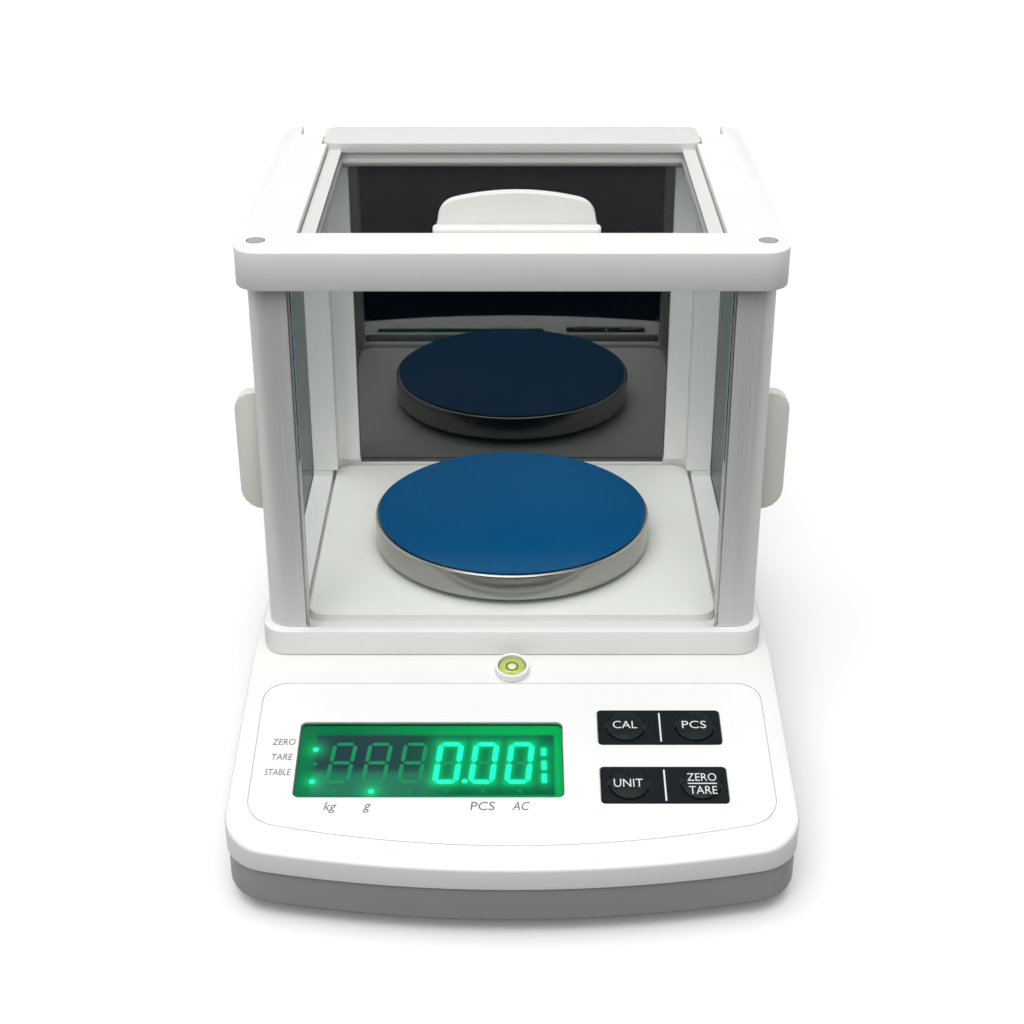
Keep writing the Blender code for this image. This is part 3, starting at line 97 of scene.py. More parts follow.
def node(tree, kind, **settings):
    """A new shader node with its settings."""
    made = tree.nodes.new("ShaderNode" + kind)
    for name, value in settings.items():
        setattr(made, name, value)
    return made


def maths(tree, operation, *values):
    """Result of a Math node whose inputs are numbers or other nodes' outputs."""
    made = node(tree, "Math", operation=operation)
    for socket, value in zip(made.inputs, values):
        if isinstance(value, (int, float)):
            socket.default_value = value
        else:
            tree.links.new(value, socket)
    return made.outputs["Value"]


def seen_directly(tree):
    """1 for rays from the eye, from reflections and through glass, and 0 for light that bounces."""
    path = node(tree, "LightPath")
    return maths(tree, "MAXIMUM", maths(tree, "MAXIMUM", path.outputs["Is Camera Ray"],
                                        path.outputs["Is Glossy Ray"]), path.outputs["Is Transmission Ray"])


def noise(tree, scale, detail=3.0, stretch=(1, 1, 1), roughness=0.5):
    """Noise on the piece's own coordinates; scale counts per metre."""
    place = node(tree, "TexCoord")
    mapping = node(tree, "Mapping")
    mapping.inputs["Scale"].default_value = stretch
    made = node(tree, "TexNoise")
    made.inputs["Scale"].default_value = scale
    made.inputs["Detail"].default_value = detail
    made.inputs["Roughness"].default_value = roughness
    tree.links.new(place.outputs["Object"], mapping.inputs["Vector"])
    tree.links.new(mapping.outputs["Vector"], made.inputs["Vector"])
    return made.outputs["Fac"]


def ramp(tree, source, stops):
    """Colour ramp from (position, colour) pairs."""
    made = node(tree, "ValToRGB")
    elements = made.color_ramp.elements
    while len(elements) < len(stops):
        elements.new(0.5)
    for element, (place, colour) in zip(elements, stops):
        element.position = place
        element.color = (*colour, 1)
    tree.links.new(source, made.inputs["Fac"])
    return made.outputs["Color"]


def tinted(made, source, low, high):
    """Lets the base colour wander between two colours."""
    tree = made.node_tree
    shader = tree.nodes["Principled BSDF"]
    colour = ramp(tree, source, [(NOISE_SPAN[0], low), (NOISE_SPAN[1], high)])
    tree.links.new(colour, shader.inputs["Base Color"])


def stretched(tree, source, span, low, high):
    """Value whose span is stretched to run from low to high."""
    reach = node(tree, "MapRange")
    for socket, value in zip(("From Min", "From Max", "To Min", "To Max"), (*span, low, high)):
        reach.inputs[socket].default_value = value
    tree.links.new(source, reach.inputs["Value"])
    return reach.outputs["Result"]


def rough_range(made, source, low, high):
    """Lets the roughness wander between two values."""
    tree = made.node_tree
    roughness = stretched(tree, source, NOISE_SPAN, low, high)
    tree.links.new(roughness, tree.nodes["Principled BSDF"].inputs["Roughness"])


def bumped(made, source, strength, distance):
    """Gives the surface fine relief from a pattern."""
    tree = made.node_tree
    bump = node(tree, "Bump")
    bump.inputs["Strength"].default_value = strength
    bump.inputs["Distance"].default_value = distance
    tree.links.new(source, bump.inputs["Height"])
    tree.links.new(bump.outputs["Normal"], tree.nodes["Principled BSDF"].inputs["Normal"])


def plastic(name, colour, roughness, spread=0.02, grain=2600, strength=0.12, **sockets):
    """Moulded plastic: a fine grain, slightly uneven gloss and a trace of cloudiness in the colour."""
    made = surface(name, colour, roughness, **sockets)
    tree = made.node_tree
    low = tuple(c * (1 - spread) for c in colour)
    tinted(made, noise(tree, 28, 4), low, colour)
    rough_range(made, noise(tree, 90, 5), roughness - 0.05, roughness + 0.06)
    bumped(made, noise(tree, grain, 2), strength, 0.02 * MM)
    return made


def metal(name, dark, light, roughness, grain, stretch, strength=0.15, metallic=1.0):
    """Worked metal: streaks along the direction that it was brushed or turned in."""
    made = surface(name, light, roughness, Metallic=metallic)
    tree = made.node_tree
    streaks = noise(tree, grain, 4, stretch, 0.6)
    tinted(made, streaks, dark, light)
    rough_range(made, streaks, roughness - 0.05, roughness + 0.08)
    bumped(made, streaks, strength, 0.01 * MM)
    return made


BODY_STARTS, BODY_FULL = 0.8, 0.86
SQUARE_ON = 0.04


def clear(name, tint, gloss, body=None):
    """Clear glass: see-through with its tint, mirror-like at a shallow angle from both sides, open to lamps.

    A body colour shows at a very shallow angle, where the way through the pane is long.
    """
    made = surface(name, (1, 1, 1), 0.015, Metallic=1.0)
    tree = made.node_tree
    through = node(tree, "BsdfTransparent")
    through.inputs["Color"].default_value = (*tint, 1)
    weight = node(tree, "LayerWeight")
    weight.inputs["Blend"].default_value = 0.5
    if body:
        shades = ramp(tree, weight.outputs["Facing"], [(BODY_STARTS, tint), (BODY_FULL, body)])
        tree.links.new(shades, through.inputs["Color"])
    path = node(tree, "LightPath")
    mix = node(tree, "MixShader")
    shallow = maths(tree, "POWER", weight.outputs["Facing"], 5.0)
    mirrored_share = maths(tree, "MULTIPLY_ADD", shallow, (1 - SQUARE_ON) * gloss, SQUARE_ON * gloss)
    lamps = maths(tree, "SUBTRACT", 1.0, path.outputs["Is Shadow Ray"])
    tree.links.new(maths(tree, "MULTIPLY", mirrored_share, lamps), mix.inputs["Fac"])
    tree.links.new(through.outputs["BSDF"], mix.inputs[1])
    tree.links.new(tree.nodes["Principled BSDF"].outputs["BSDF"], mix.inputs[2])
    tree.links.new(mix.outputs["Shader"], tree.nodes["Material Output"].inputs["Surface"])
    return made


def lit(name, colour, strength=1.0):
    """A light-emitting surface under a dark skin."""
    made = surface(name, (0.0, 0.01, 0.005), 0.5, Specular_IOR_Level=0.0)
    shader = made.node_tree.nodes["Principled BSDF"]
    shader.inputs["Emission Color"].default_value = (*colour, 1)
    shader.inputs["Emission Strength"].default_value = strength
    return made


WHITE = plastic("white_plastic", (0.86, 0.86, 0.84), 0.42)
# Lighter copy of the white plastic for the chamber's tray: painted light, in place of light that too little of
# reaches the chamber's floor
LIT_TRAY_WHITE = plastic("tray_plastic_lit", (0.92, 0.92, 0.89), 0.5, 0.03)
HANDLE = plastic("handle_plastic", (0.86, 0.855, 0.79), 0.4)
COVER_PLASTIC = plastic("cover_plastic", (0.70, 0.70, 0.68), 0.42)
TAB = plastic("tab_plastic", (0.80, 0.795, 0.775), 0.42)
OVERLAY = plastic("overlay_film", (0.88, 0.88, 0.87), 0.35, 0.01, 900, 0.05)
GREY = plastic("grey_plastic", (0.38, 0.38, 0.38), 0.55, 0.04, 2200, 0.3)
PLUG = plastic("plug_plastic", (0.34, 0.34, 0.34), 0.5)
BLACK = plastic("black_plastic", tone(24, 31, 33), 0.4, 0.1, 2600, 0.1, Specular_IOR_Level=0.06)
KEY = plastic("key_film", tone(25, 32, 34), 0.3, 0.08, 1500, 0.06, Specular_IOR_Level=0.1)
UPRIGHT_STREAKS = (1, 1, 0.004)
ALUMINIUM = metal("brushed_aluminium", (0.66, 0.66, 0.645), (0.71, 0.71, 0.695), 0.42, 2200, UPRIGHT_STREAKS,
                  0.02, 0.25)
# Lighter, less metallic copy of the aluminium for the rear columns: painted light, standing in for the light
# that reaches them inside the shield
LIT_ALUMINIUM = metal("rear_aluminium_lit", (0.90, 0.90, 0.88), (0.95, 0.95, 0.93), 0.45, 3000,
                       UPRIGHT_STREAKS, 0.04, 0.1)
CAST = metal("milled_aluminium", (0.52, 0.52, 0.51), (0.62, 0.62, 0.60), 0.38, 700, (1, 0.05, 1))
STEEL = metal("turned_steel", (0.31, 0.31, 0.29), (0.38, 0.375, 0.35), 0.18, 900, (0.02, 0.02, 1), 0.04)
ZINC = metal("zinc_steel", (0.50, 0.50, 0.48), (0.62, 0.62, 0.60), 0.35, 400, (1, 1, 1))
FAINT_GREEN = (0.985, 0.993, 0.988)
GLASS = clear("clear_glass", FAINT_GREEN, 0.5, (0.12, 0.19, 0.19))
FRONT_GLASS = clear("front_glass", FAINT_GREEN, 0.12)
COVER_GLASS = clear("cover_glass", FAINT_GREEN, 0.05)
GLASS_EDGE = surface("glass_edge", tone(72, 94, 90), 0.15, Coat_Weight=0.5)
MIRROR = surface("dark_mirror", (0.001, 0.004, 0.006), 0.02, IOR=2.1)
FILM = surface("blue_film", tone(8, 86, 137), 0.2, Specular_IOR_Level=0.08)
RUBBER = plastic("rubber", (0.03, 0.03, 0.03), 0.75, 0.2, 1800, 0.4)
BOARD = plastic("circuit_board", (0.02, 0.20, 0.08), 0.4, 0.2)
LIQUID = surface("level_liquid", tone(178, 194, 88), 0.1, Coat_Weight=0.6, Coat_Roughness=0.03)
INK = surface("grey_ink", tone(96, 96, 96), 0.5)
WHITE_INK = surface("white_ink", tone(225, 228, 228), 0.5)
DARK_INK = surface("dark_ink", tone(40, 42, 40), 0.5)

BY_NODE = {
    "upper_housing": WHITE, "shield_base_frame": WHITE, "shield_top_frame": WHITE, "chamber_tray": LIT_TRAY_WHITE,
    "control_overlay": OVERLAY, "level_ring": WHITE, "door_handle_left": HANDLE, "door_handle_right": HANDLE,
    "cover_handle": TAB, "lower_housing": GREY, "corner_plug_left": PLUG, "corner_plug_right": PLUG,
    "key_cal": KEY, "key_pcs": KEY, "key_unit": KEY, "key_zero_tare": KEY,
    "key_strip_upper": BLACK, "key_strip_lower": BLACK, "display_module": BLACK, "battery": BLACK,
    "dc_socket": BLACK, "switch_case": BLACK, "power_rocker": BLACK, "load_cell": CAST,
    "load_cell_block": CAST, "pan_carrier": CAST, "cover_frame": COVER_PLASTIC, "rear_panel": MIRROR,
    "pan_film": FILM, "weighing_pan": STEEL, "display_board": BOARD, "main_board": BOARD,
    "level_vial": LIQUID, "front_glass": FRONT_GLASS, "door_glass_left": GLASS, "door_glass_right": GLASS,
    "cover_glass": COVER_GLASS, "display_window": GLASS,
}
for corner in ("front_left", "front_right", "rear_left", "rear_right"):
    BY_NODE["column_" + corner] = ALUMINIUM if "front" in corner else LIT_ALUMINIUM
    BY_NODE["column_screw_" + corner] = ZINC
    BY_NODE["housing_screw_" + corner] = ZINC
    BY_NODE["levelling_foot_" + corner] = RUBBER


def shade_group(angle):
    """Geometry nodes that join the split corners and shade everything smooth but the sharp edges."""
    group = bpy.data.node_groups.new("shade_smooth_parts", "GeometryNodeTree")
    group.interface.new_socket("Geometry", in_out="INPUT", socket_type="NodeSocketGeometry")
    group.interface.new_socket("Geometry", in_out="OUTPUT", socket_type="NodeSocketGeometry")
    start = group.nodes.new("NodeGroupInput")
    end = group.nodes.new("NodeGroupOutput")
    merge = group.nodes.new("GeometryNodeMergeByDistance")
    merge.inputs["Distance"].default_value = 0.002 * MM
    faces = group.nodes.new("GeometryNodeSetShadeSmooth")
    faces.domain = "FACE"
    faces.inputs["Shade Smooth"].default_value = True
    edges = group.nodes.new("GeometryNodeSetShadeSmooth")
    edges.domain = "EDGE"
    edges.inputs["Shade Smooth"].default_value = False
    between = group.nodes.new("GeometryNodeInputMeshEdgeAngle")
    compare = group.nodes.new("FunctionNodeCompare")
    compare.operation = "GREATER_THAN"
    compare.inputs["B"].default_value = angle
    link = group.links.new
    link(start.outputs[0], merge.inputs["Geometry"])
    link(merge.outputs["Geometry"], faces.inputs["Geometry"])
    link(faces.outputs["Geometry"], edges.inputs["Geometry"])
    link(between.outputs["Unsigned Angle"], compare.inputs["A"])
    link(compare.outputs["Result"], edges.inputs["Selection"])
    link(edges.outputs["Geometry"], end.inputs[0])
    return group


SMOOTH = shade_group(SHARP_ON_SOLIDS)
PANE_AXIS = {"front_glass": 1, "door_glass_left": 0, "door_glass_right": 0}

for name, made in BY_NODE.items():
    mesh = nodes[name].data
    mesh.materials.clear()
    mesh.materials.append(made)
    for face in mesh.polygons:
        face.material_index = 0
    if name in PANE_AXIS:
        mesh.materials.append(GLASS_EDGE)
        for face in mesh.polygons:
            if abs(face.normal[PANE_AXIS[name]]) < 0.5:
                face.material_index = 1
    smooth = nodes[name].modifiers.new("smooth", "NODES")
    smooth.node_group = SMOOTH


# Making pieces

def piece(name, mesh, made, body):
    """Links a mesh as a piece of the object that rides on a body."""
    mesh.materials.clear()
    mesh.materials.append(made)
    mesh.shade_smooth()
    mesh.set_sharp_from_angle(angle=SHARP_ON_PIECES)
    new = bpy.data.objects.new(name, mesh)
    bpy.context.scene.collection.objects.link(new)
    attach(new, body)
    return new


def to_mesh(curve, place):
    """The mesh of a curve or text, moved to its place."""
    holder = bpy.data.objects.new("holder", curve)
    bpy.context.scene.collection.objects.link(holder)
    graph = bpy.context.evaluated_depsgraph_get()
    graph.update()
    mesh = bpy.data.meshes.new_from_object(holder.evaluated_get(graph))
    bpy.data.objects.remove(holder)
    mesh.transform(place)
    return mesh


def slab_mesh(outlines, low, high, bevel=0.0, place=UPRIGHT):
    """Flat shapes between two heights, with rounded edges; inner outlines are holes."""
    curve = bpy.data.curves.new("slab", "CURVE")
    curve.dimensions = "2D"
    curve.fill_mode = "BOTH"
    curve.extrude = (high - low) / 2 - bevel
    curve.bevel_depth = bevel
    curve.bevel_resolution = 3
    curve.offset = -bevel
    for outline in outlines:
        spline = curve.splines.new("POLY")
        spline.points.add(len(outline) - 1)
        for point, (x, y) in zip(spline.points, outline):
            point.co = (x, y, 0, 1)
        spline.use_cyclic_u = True
    return to_mesh(curve, place @ Matrix.Translation((0, 0, (low + high) / 2)))


def joined(meshes):
    """One mesh from several."""
    whole = bmesh.new()
    for mesh in meshes:
        whole.from_mesh(mesh)
    made = bpy.data.meshes.new("joined")
    whole.to_mesh(made)
    whole.free()
    return made


def turned_mesh(profile, place, steps):
    """Solid of revolution about local Z from (radius, height) pairs, closed where they lie on the axis."""
    whole = bmesh.new()
    rings = []
    for radius, height in profile:
        if radius < 1e-7:
            rings.append([whole.verts.new((0, 0, height))])
        else:
            rings.append([whole.verts.new((radius * math.cos(2 * math.pi * k / steps),
                                           radius * math.sin(2 * math.pi * k / steps), height))
                          for k in range(steps)])
    for first, second in zip(rings, rings[1:]):
        for k in range(steps):
            after = (k + 1) % steps
            corners = [first[k % len(first)], first[after % len(first)],
                       second[after % len(second)], second[k % len(second)]]
            corners = list(dict.fromkeys(corners))
            if len(corners) > 2:
                whole.faces.new(corners)
    bmesh.ops.recalc_face_normals(whole, faces=whole.faces)
    made = bpy.data.meshes.new("turned")
    whole.to_mesh(made)
    whole.free()
    made.transform(place)
    return made


def circle(centre, radius, steps=32):
    """Points of a circle about a centre."""
    return [(centre[0] + radius * math.cos(2 * math.pi * k / steps),
             centre[1] + radius * math.sin(2 * math.pi * k / steps)) for k in range(steps)]


def rounded_box(left, right, front, rear, corner, steps=8):
    """Points of a rectangle with round corners."""
    points = []
    for x, y, start in ((right - corner, rear - corner, 0), (left + corner, rear - corner, 90),
                        (left + corner, front + corner, 180), (right - corner, front + corner, 270)):
        for k in range(steps + 1):
            angle = math.radians(start + 90 * k / steps)
            points.append((x + corner * math.cos(angle), y + corner * math.sin(angle)))
    return points


def lettering(name, words, centre, size, low, made, body, slant=0.0, weight=0.0):
    """Generic words fitted to a size on the panel, as a thin raised print."""
    curve = bpy.data.curves.new(name, "FONT")
    curve.body = words
    curve.resolution_u = 3
    curve.extrude = 0.01
    curve.offset = weight
    curve.shear = slant
    mesh = to_mesh(curve, UPRIGHT)
    lows = [min(v.co[i] for v in mesh.vertices) for i in range(3)]
    highs = [max(v.co[i] for v in mesh.vertices) for i in range(3)]
    sizes = (size[0], size[1], PRINT)
    places = (centre[0] - size[0] / 2, centre[1] - size[1] / 2, low)
    for vertex in mesh.vertices:
        for i in range(3):
            share = (vertex.co[i] - lows[i]) / (highs[i] - lows[i])
            vertex.co[i] = places[i] + share * sizes[i]
    mesh.transform(PANEL)
    return piece(name, mesh, made, body)


# Display: a green cavity behind a clear lens, with six digits, three bars, indicators and markers

WINDOW = (-81.25 * MM, 19.25 * MM, -75.4 * MM, -37.4 * MM)
RIM = 0.45 * MM
FACE_INSET = 0.15 * MM
FACE_TOP = -1.45 * MM
FACE_BOTTOM = -1.6 * MM
LENS_BOTTOM = -0.5 * MM
LENS_TOP = 0.4 * MM
DIGIT_X = [(-64.6 + 13.5 * k) * MM for k in range(6)]
DIGIT_Y = -57.1 * MM
DIGIT_HALF = (3.9 * MM, 9.6 * MM)
DIGIT_SLANT = 0.10
STROKE = 1.9 * MM
LIT_STROKE, LIT_GAP = STROKE * 1.15, 0.25 * MM
UNLIT_STROKE, UNLIT_GAP = STROKE * 0.8, 0.5 * MM
LIT_DIGITS = (3, 4, 5)
LIT_POINT_AFTER = 3
POINT_ON_DIGIT = (1.65, -1.03)
POINT_RADIUS = 0.55 * MM
SEGMENTS = {"a": ((-1, 1), (1, 1)), "b": ((1, 1), (1, 0)), "c": ((1, 0), (1, -1)), "d": ((-1, -1), (1, -1)),
            "e": ((-1, 0), (-1, -1)), "f": ((-1, 1), (-1, 0)), "g": ((-1, 0), (1, 0))}
ZERO = "abcdef"
BARS = ((-51.5, 4.2), (-58.4, 4.8), (-64.9, 4.8))
BAR_X = 12.1 * MM
BAR_HALF_WIDTH = 1.05 * MM
INDICATORS = ((-74.8, -50.3, True), (-74.5, -58.0, False), (-74.9, -66.6, True))
MARKERS = ((-66.7, False), (-52.5, True), (-38.4, False), (-24.3, False), (-10.9, False), (2.9, False))
MARKER_Y = -71.5
POINT = (-17.7, -66.4)
SPOT_RADIUS = 1.15 * MM
ARROW = 1.0 * MM


def on_digit(index, x, y):
    """Place of a digit's own coordinates, which run from -1 to 1, on the panel."""
    return (DIGIT_X[index] + x * DIGIT_HALF[0] + y * DIGIT_HALF[1] * DIGIT_SLANT, DIGIT_Y + y * DIGIT_HALF[1])


def stroke(start, end, width, gap):
    """Pointed bar from start to end, as the segments of a digit have."""
    along = Vector((end[0] - start[0], end[1] - start[1]))
    length = along.length
    along.normalize()
    across = Vector((-along.y, along.x)) * width / 2
    tip = along * width / 2
    a = Vector(start) + along * gap
    b = Vector(start) + along * (length - gap)
    return [tuple(a), tuple(a + tip - across), tuple(b - tip - across), tuple(b), tuple(b - tip + across),
            tuple(a + tip + across)]


lit_shapes = []
unlit_shapes = []
sources = []
for index in range(len(DIGIT_X)):
    shown = ZERO if index in LIT_DIGITS else ""
    for segment, (start, end) in SEGMENTS.items():
        ends = (on_digit(index, *start), on_digit(index, *end))
        if segment in shown:
            lit_shapes.append(stroke(*ends, LIT_STROKE, LIT_GAP))
            sources.append(ends)
        else:
            unlit_shapes.append(stroke(*ends, UNLIT_STROKE, UNLIT_GAP))
    if index != LIT_POINT_AFTER:
        unlit_shapes.append(circle(on_digit(index, *POINT_ON_DIGIT), POINT_RADIUS, 8))
for y, height in BARS:
    middle = y * MM
    half = height / 2 * MM
    sides = (BAR_X - BAR_HALF_WIDTH, BAR_X + BAR_HALF_WIDTH)
    lit_shapes.append(rounded_box(*sides, middle - half, middle + half, 0.6 * MM, 4))
    sources.append(((BAR_X, middle - half / 2), (BAR_X, middle + half / 2)))


def arrow(x, y, size):
    """Triangle that points down, about a place."""
    top = y + size * 0.8
    return [(x - size, top), (x, y - size), (x + size, top)]


spots = [(*POINT, True)] + list(INDICATORS) + [(x, MARKER_Y, shown) for x, shown in MARKERS]
for x, y, shown in spots:
    spot = (x * MM, y * MM)
    if shown:
        lit_shapes.append(circle(spot, SPOT_RADIUS, 14))
        sources.append((spot, spot))
    else:
        unlit_shapes.append(arrow(*spot, ARROW))


def distance(x, y, ends):
    """Distance of a point from a segment."""
    start = Vector(ends[0])
    along = Vector(ends[1]) - start
    point = Vector((x, y)) - start
    share = 0.0 if along.length_squared == 0 else min(max(point.dot(along) / along.length_squared, 0), 1)
    return (point - along * share).length


def between(low, high, value):
    """Smooth step from 0 at low to 1 at high."""
    share = min(max((value - low) / (high - low), 0), 1)
    return share * share * (3 - 2 * share)


def blend_colours(first, second, share):
    """Colour a share of the way from the first to the second."""
    return tuple(a + (b - a) * share for a, b in zip(first, second))


# Painted light of the cavity: glowing colours of its floor and walls and a haze, standing in for the segments'
# light inside it, and the painted halo of a lit shape as pairs of strength and reach in mm

FLOOR_GLOW_LEFT, FLOOR_GLOW_RIGHT = tone(44, 62, 74), tone(16, 84, 62)
WALL_GLOW_LEFT, WALL_GLOW_RIGHT = tone(18, 118, 74), tone(6, 176, 88)
GLOW_HAZE = tone(46, 122, 98)
HALO = ((0.34, 1.9), (0.22, 4.6))
HALO_COLOUR = (0.0, 1.0, 0.26)


def display_colour(x, y):
    """Light that leaves the display's face at a place on the panel."""
    left, right = WINDOW[:2]
    across = (x - left) / (right - left)
    colour = blend_colours(FLOOR_GLOW_LEFT, FLOOR_GLOW_RIGHT, between(0.25, 0.62, across))
    hazy = between(-59 * MM, -64 * MM, y) * between(0.62, 0.38, across)
    colour = blend_colours(colour, GLOW_HAZE, hazy)
    wall = blend_colours(WALL_GLOW_LEFT, WALL_GLOW_RIGHT, between(0.1, 0.95, across))
    inside = (between(-76 * MM, -74.2 * MM, x) * between(16.6 * MM, 15.6 * MM, x)
              * between(-42.3 * MM, -43.1 * MM, y) * between(-74.6 * MM, -72.4 * MM, y))
    colour = blend_colours(wall, colour, inside)
    near = min(distance(x, y, ends) for ends in sources) / MM
    glow = sum(strength * math.exp(-(near / reach) ** 2) for strength, reach in HALO)
    return tuple(c + g * glow for c, g in zip(colour, HALO_COLOUR))


def display_face():
    """Face of the display, whose painted light is computed for each corner."""
    left, right, front, rear = WINDOW
    wide = right - left - 2 * FACE_INSET
    deep = rear - front - 2 * FACE_INSET
    columns = 150
    rows = 58
    whole = bmesh.new()
    grid = [[whole.verts.new((left + FACE_INSET + wide * i / columns, front + FACE_INSET + deep * j / rows,
                              FACE_TOP)) for i in range(columns + 1)] for j in range(rows + 1)]
    for j in range(rows):
        for i in range(columns):
            whole.faces.new((grid[j][i], grid[j][i + 1], grid[j + 1][i + 1], grid[j + 1][i]))
    rim = [edge for edge in whole.edges if edge.is_boundary]
    sides = bmesh.ops.extrude_edge_only(whole, edges=rim)
    low = [part for part in sides["geom"] if isinstance(part, bmesh.types.BMVert)]
    for vertex in low:
        vertex.co.z = FACE_BOTTOM
    whole.faces.new(ordered_rim(low))
    bmesh.ops.recalc_face_normals(whole, faces=whole.faces)
    mesh = bpy.data.meshes.new("display_face")
    whole.to_mesh(mesh)
    whole.free()
    colours = mesh.color_attributes.new("glow", "FLOAT_COLOR", "POINT")
    for index, vertex in enumerate(mesh.vertices):
        colours.data[index].color = (*display_colour(vertex.co.x, vertex.co.y), 1)
    mesh.transform(PANEL)
    return mesh


def ordered_rim(vertices):
    """Boundary vertices in the order that their edges run."""
    wanted = set(vertices)
    order = [vertices[0]]
    before = None
    while True:
        here = order[-1]
        after = None
        for edge in here.link_edges:
            other = edge.other_vert(here)
            if other in wanted and other is not before:
                after = other
                break
        if after is None or after is order[0]:
            return order
        before = here
        order.append(after)


# The face glows with the painted light of the cavity, with a random speckle in its strength
FACE = surface("display_face", (0.0, 0.01, 0.005), 0.5, Specular_IOR_Level=0.0)
face_tree = FACE.node_tree
face_shader = face_tree.nodes["Principled BSDF"]
glow_colour = node(face_tree, "Attribute", attribute_name="glow")
speckle = stretched(face_tree, noise(face_tree, 1500, 2), (0.3, 0.7), 0.86, 1.08)
scaled = node(face_tree, "VectorMath", operation="SCALE")
face_tree.links.new(glow_colour.outputs["Color"], scaled.inputs[0])
face_tree.links.new(speckle, scaled.inputs["Scale"])
face_tree.links.new(scaled.outputs["Vector"], face_shader.inputs["Emission Color"])
face_shader.inputs["Emission Strength"].default_value = 0.95

LED_ON = lit("led_on", tone(40, 252, 208), 1.1)
# Unlit segments glow too: painted light for the display's light that falls on them
LED_OFF_GLOW = lit("led_off_glow", tone(36, 146, 96))
LENS = clear("display_lens", (0.97, 1.0, 0.98), 0.05)



def segments(name, shapes, high, made):
    """Flat shapes that stand on the display's face."""
    meshes = [slab_mesh([shape], FACE_TOP, high, place=PANEL) for shape in shapes]
    piece(name, joined(meshes), made, "base")


face_piece = piece("display_face", display_face(), FACE, "base")
segments("led_segments_on", lit_shapes, -1.3 * MM, LED_ON)
segments("led_segments_off", unlit_shapes, -1.38 * MM, LED_OFF_GLOW)
left, right, front, rear = WINDOW
outer = rounded_box(left, right, front, rear, 2.2 * MM)
inner = rounded_box(left + RIM, right - RIM, front + RIM, rear - RIM, 1.8 * MM)
piece("display_lens", slab_mesh([outer], LENS_BOTTOM, LENS_TOP, 0.2 * MM, PANEL), LENS, "base")
piece("display_rim", slab_mesh([outer, inner], FACE_BOTTOM, LENS_BOTTOM, place=PANEL),
      surface("display_rim", tone(12, 84, 52), 0.3), "base")
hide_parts("display_window")

# Printed words beside the display, and on the keys

WORDS = (("zero", "ZERO", (-87.1, -47.6), (8.8, 3.2), 0.1),
         ("tare", "TARE", (-87.1, -55.4), (8.0, 3.2), 0.1),
         ("stable", "STABLE", (-88.0, -63.1), (9.8, 3.2), 0.1),
         ("kg", "kg", (-67.0, -80.6), (4.8, 5.4), 0.25),
         ("g", "g", (-53.4, -81.0), (2.9, 4.2), 0.25),
         ("pcs", "PCS", (-10.8, -79.9), (9.0, 4.1), 0.1),
         ("ac", "AC", (3.3, -79.9), (6.4, 4.1), 0.25))
for name, words, (x, y), (width, height), slant in WORDS:
    lettering("print_" + name, words, (x * MM, y * MM), (width * MM, height * MM), 0.0, INK, "base",
              slant, 0.0)

KEY_WORDS = (("cal", "CAL", (43.5, -39.6), (9.3, 3.9), "button_cal"),
             ("pcs", "PCS", (70.1, -39.6), (9.3, 3.9), "button_pcs"),
             ("unit", "UNIT", (43.3, -69.6), (10.8, 4.0), "button_unit"),
             ("zero", "ZERO", (70.8, -66.7), (10.9, 3.8), "button_zero_tare"),
             ("tare", "TARE", (70.9, -73.1), (10.4, 3.8), "button_zero_tare"))
for name, words, (x, y), (width, height), body in KEY_WORDS:
    lettering("key_word_" + name, words, (x * MM, y * MM), (width * MM, height * MM), KEY_TOP, WHITE_INK,
              body, 0.0, -0.004)


def printed_line(name, edges, low, body):
    """Thin white line; edges are its left, right, front and rear in mm."""
    outline = rounded_box(*(edge * MM for edge in edges), 0.1 * MM, 2)
    piece(name, slab_mesh([outline], low, low + PRINT, place=PANEL), WHITE_INK, body)


printed_line("key_word_bar", (65.4, 76.2, -70.1, -69.6), KEY_TOP, "button_zero_tare")
printed_line("key_divider_upper", (56.7, 57.35, -47.7, -32.6), STRIP_TOP, "base")
printed_line("key_divider_lower", (56.7, 57.35, -77.6, -62.2), STRIP_TOP, "base")

# Foot of the cover's handle, on the cover's front strip

FOOT = (-29.5 * MM, 33.1 * MM, -13.4 * MM, -7.5 * MM)
FOOT_TOP = 221.8 * MM
STRIP_OVER_HANDLE_LOW = 1.2 * MM
handle_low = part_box("cover_handle")[0][2]
piece("cover_handle_foot",
      slab_mesh([rounded_box(*FOOT, 1.6 * MM)], handle_low + STRIP_OVER_HANDLE_LOW, FOOT_TOP, 0.7 * MM),
      TAB, "top_cover")

# Spirit level: a stepped vial of liquid with a black ring and a bubble

LEVEL = PANEL @ Matrix.Translation((0, -8.7 * MM, 0))
VIAL_RADIUS = 5.35 * MM
VIAL_TOP = 2.4 * MM
VIAL_BOTTOM = -4.8 * MM
VIAL_PROFILE = [(0, VIAL_TOP), (4.6 * MM, VIAL_TOP), (5.1 * MM, 2.2 * MM), (VIAL_RADIUS, 1.8 * MM),
                (VIAL_RADIUS, VIAL_BOTTOM), (0, VIAL_BOTTOM)]
MARK = [circle((0, 0), 2.5 * MM), circle((0, 0), 2.05 * MM)]
BUBBLE_PROFILE = [(0, 2.62 * MM), (0.7 * MM, 2.58 * MM), (1.2 * MM, 2.48 * MM), (1.45 * MM, VIAL_TOP),
                  (0, 2.38 * MM)]
vial = piece("level_liquid", turned_mesh(VIAL_PROFILE, LEVEL, 48), LIQUID, "base")
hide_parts("level_vial")
piece("level_mark", slab_mesh(MARK, VIAL_TOP, VIAL_TOP + PRINT, place=LEVEL), DARK_INK, "base")
piece("level_bubble", turned_mesh(BUBBLE_PROFILE, LEVEL, 32),
      surface("level_bubble", tone(226, 236, 190), 0.05, Coat_Weight=1.0), "base")

# Floor, light and camera

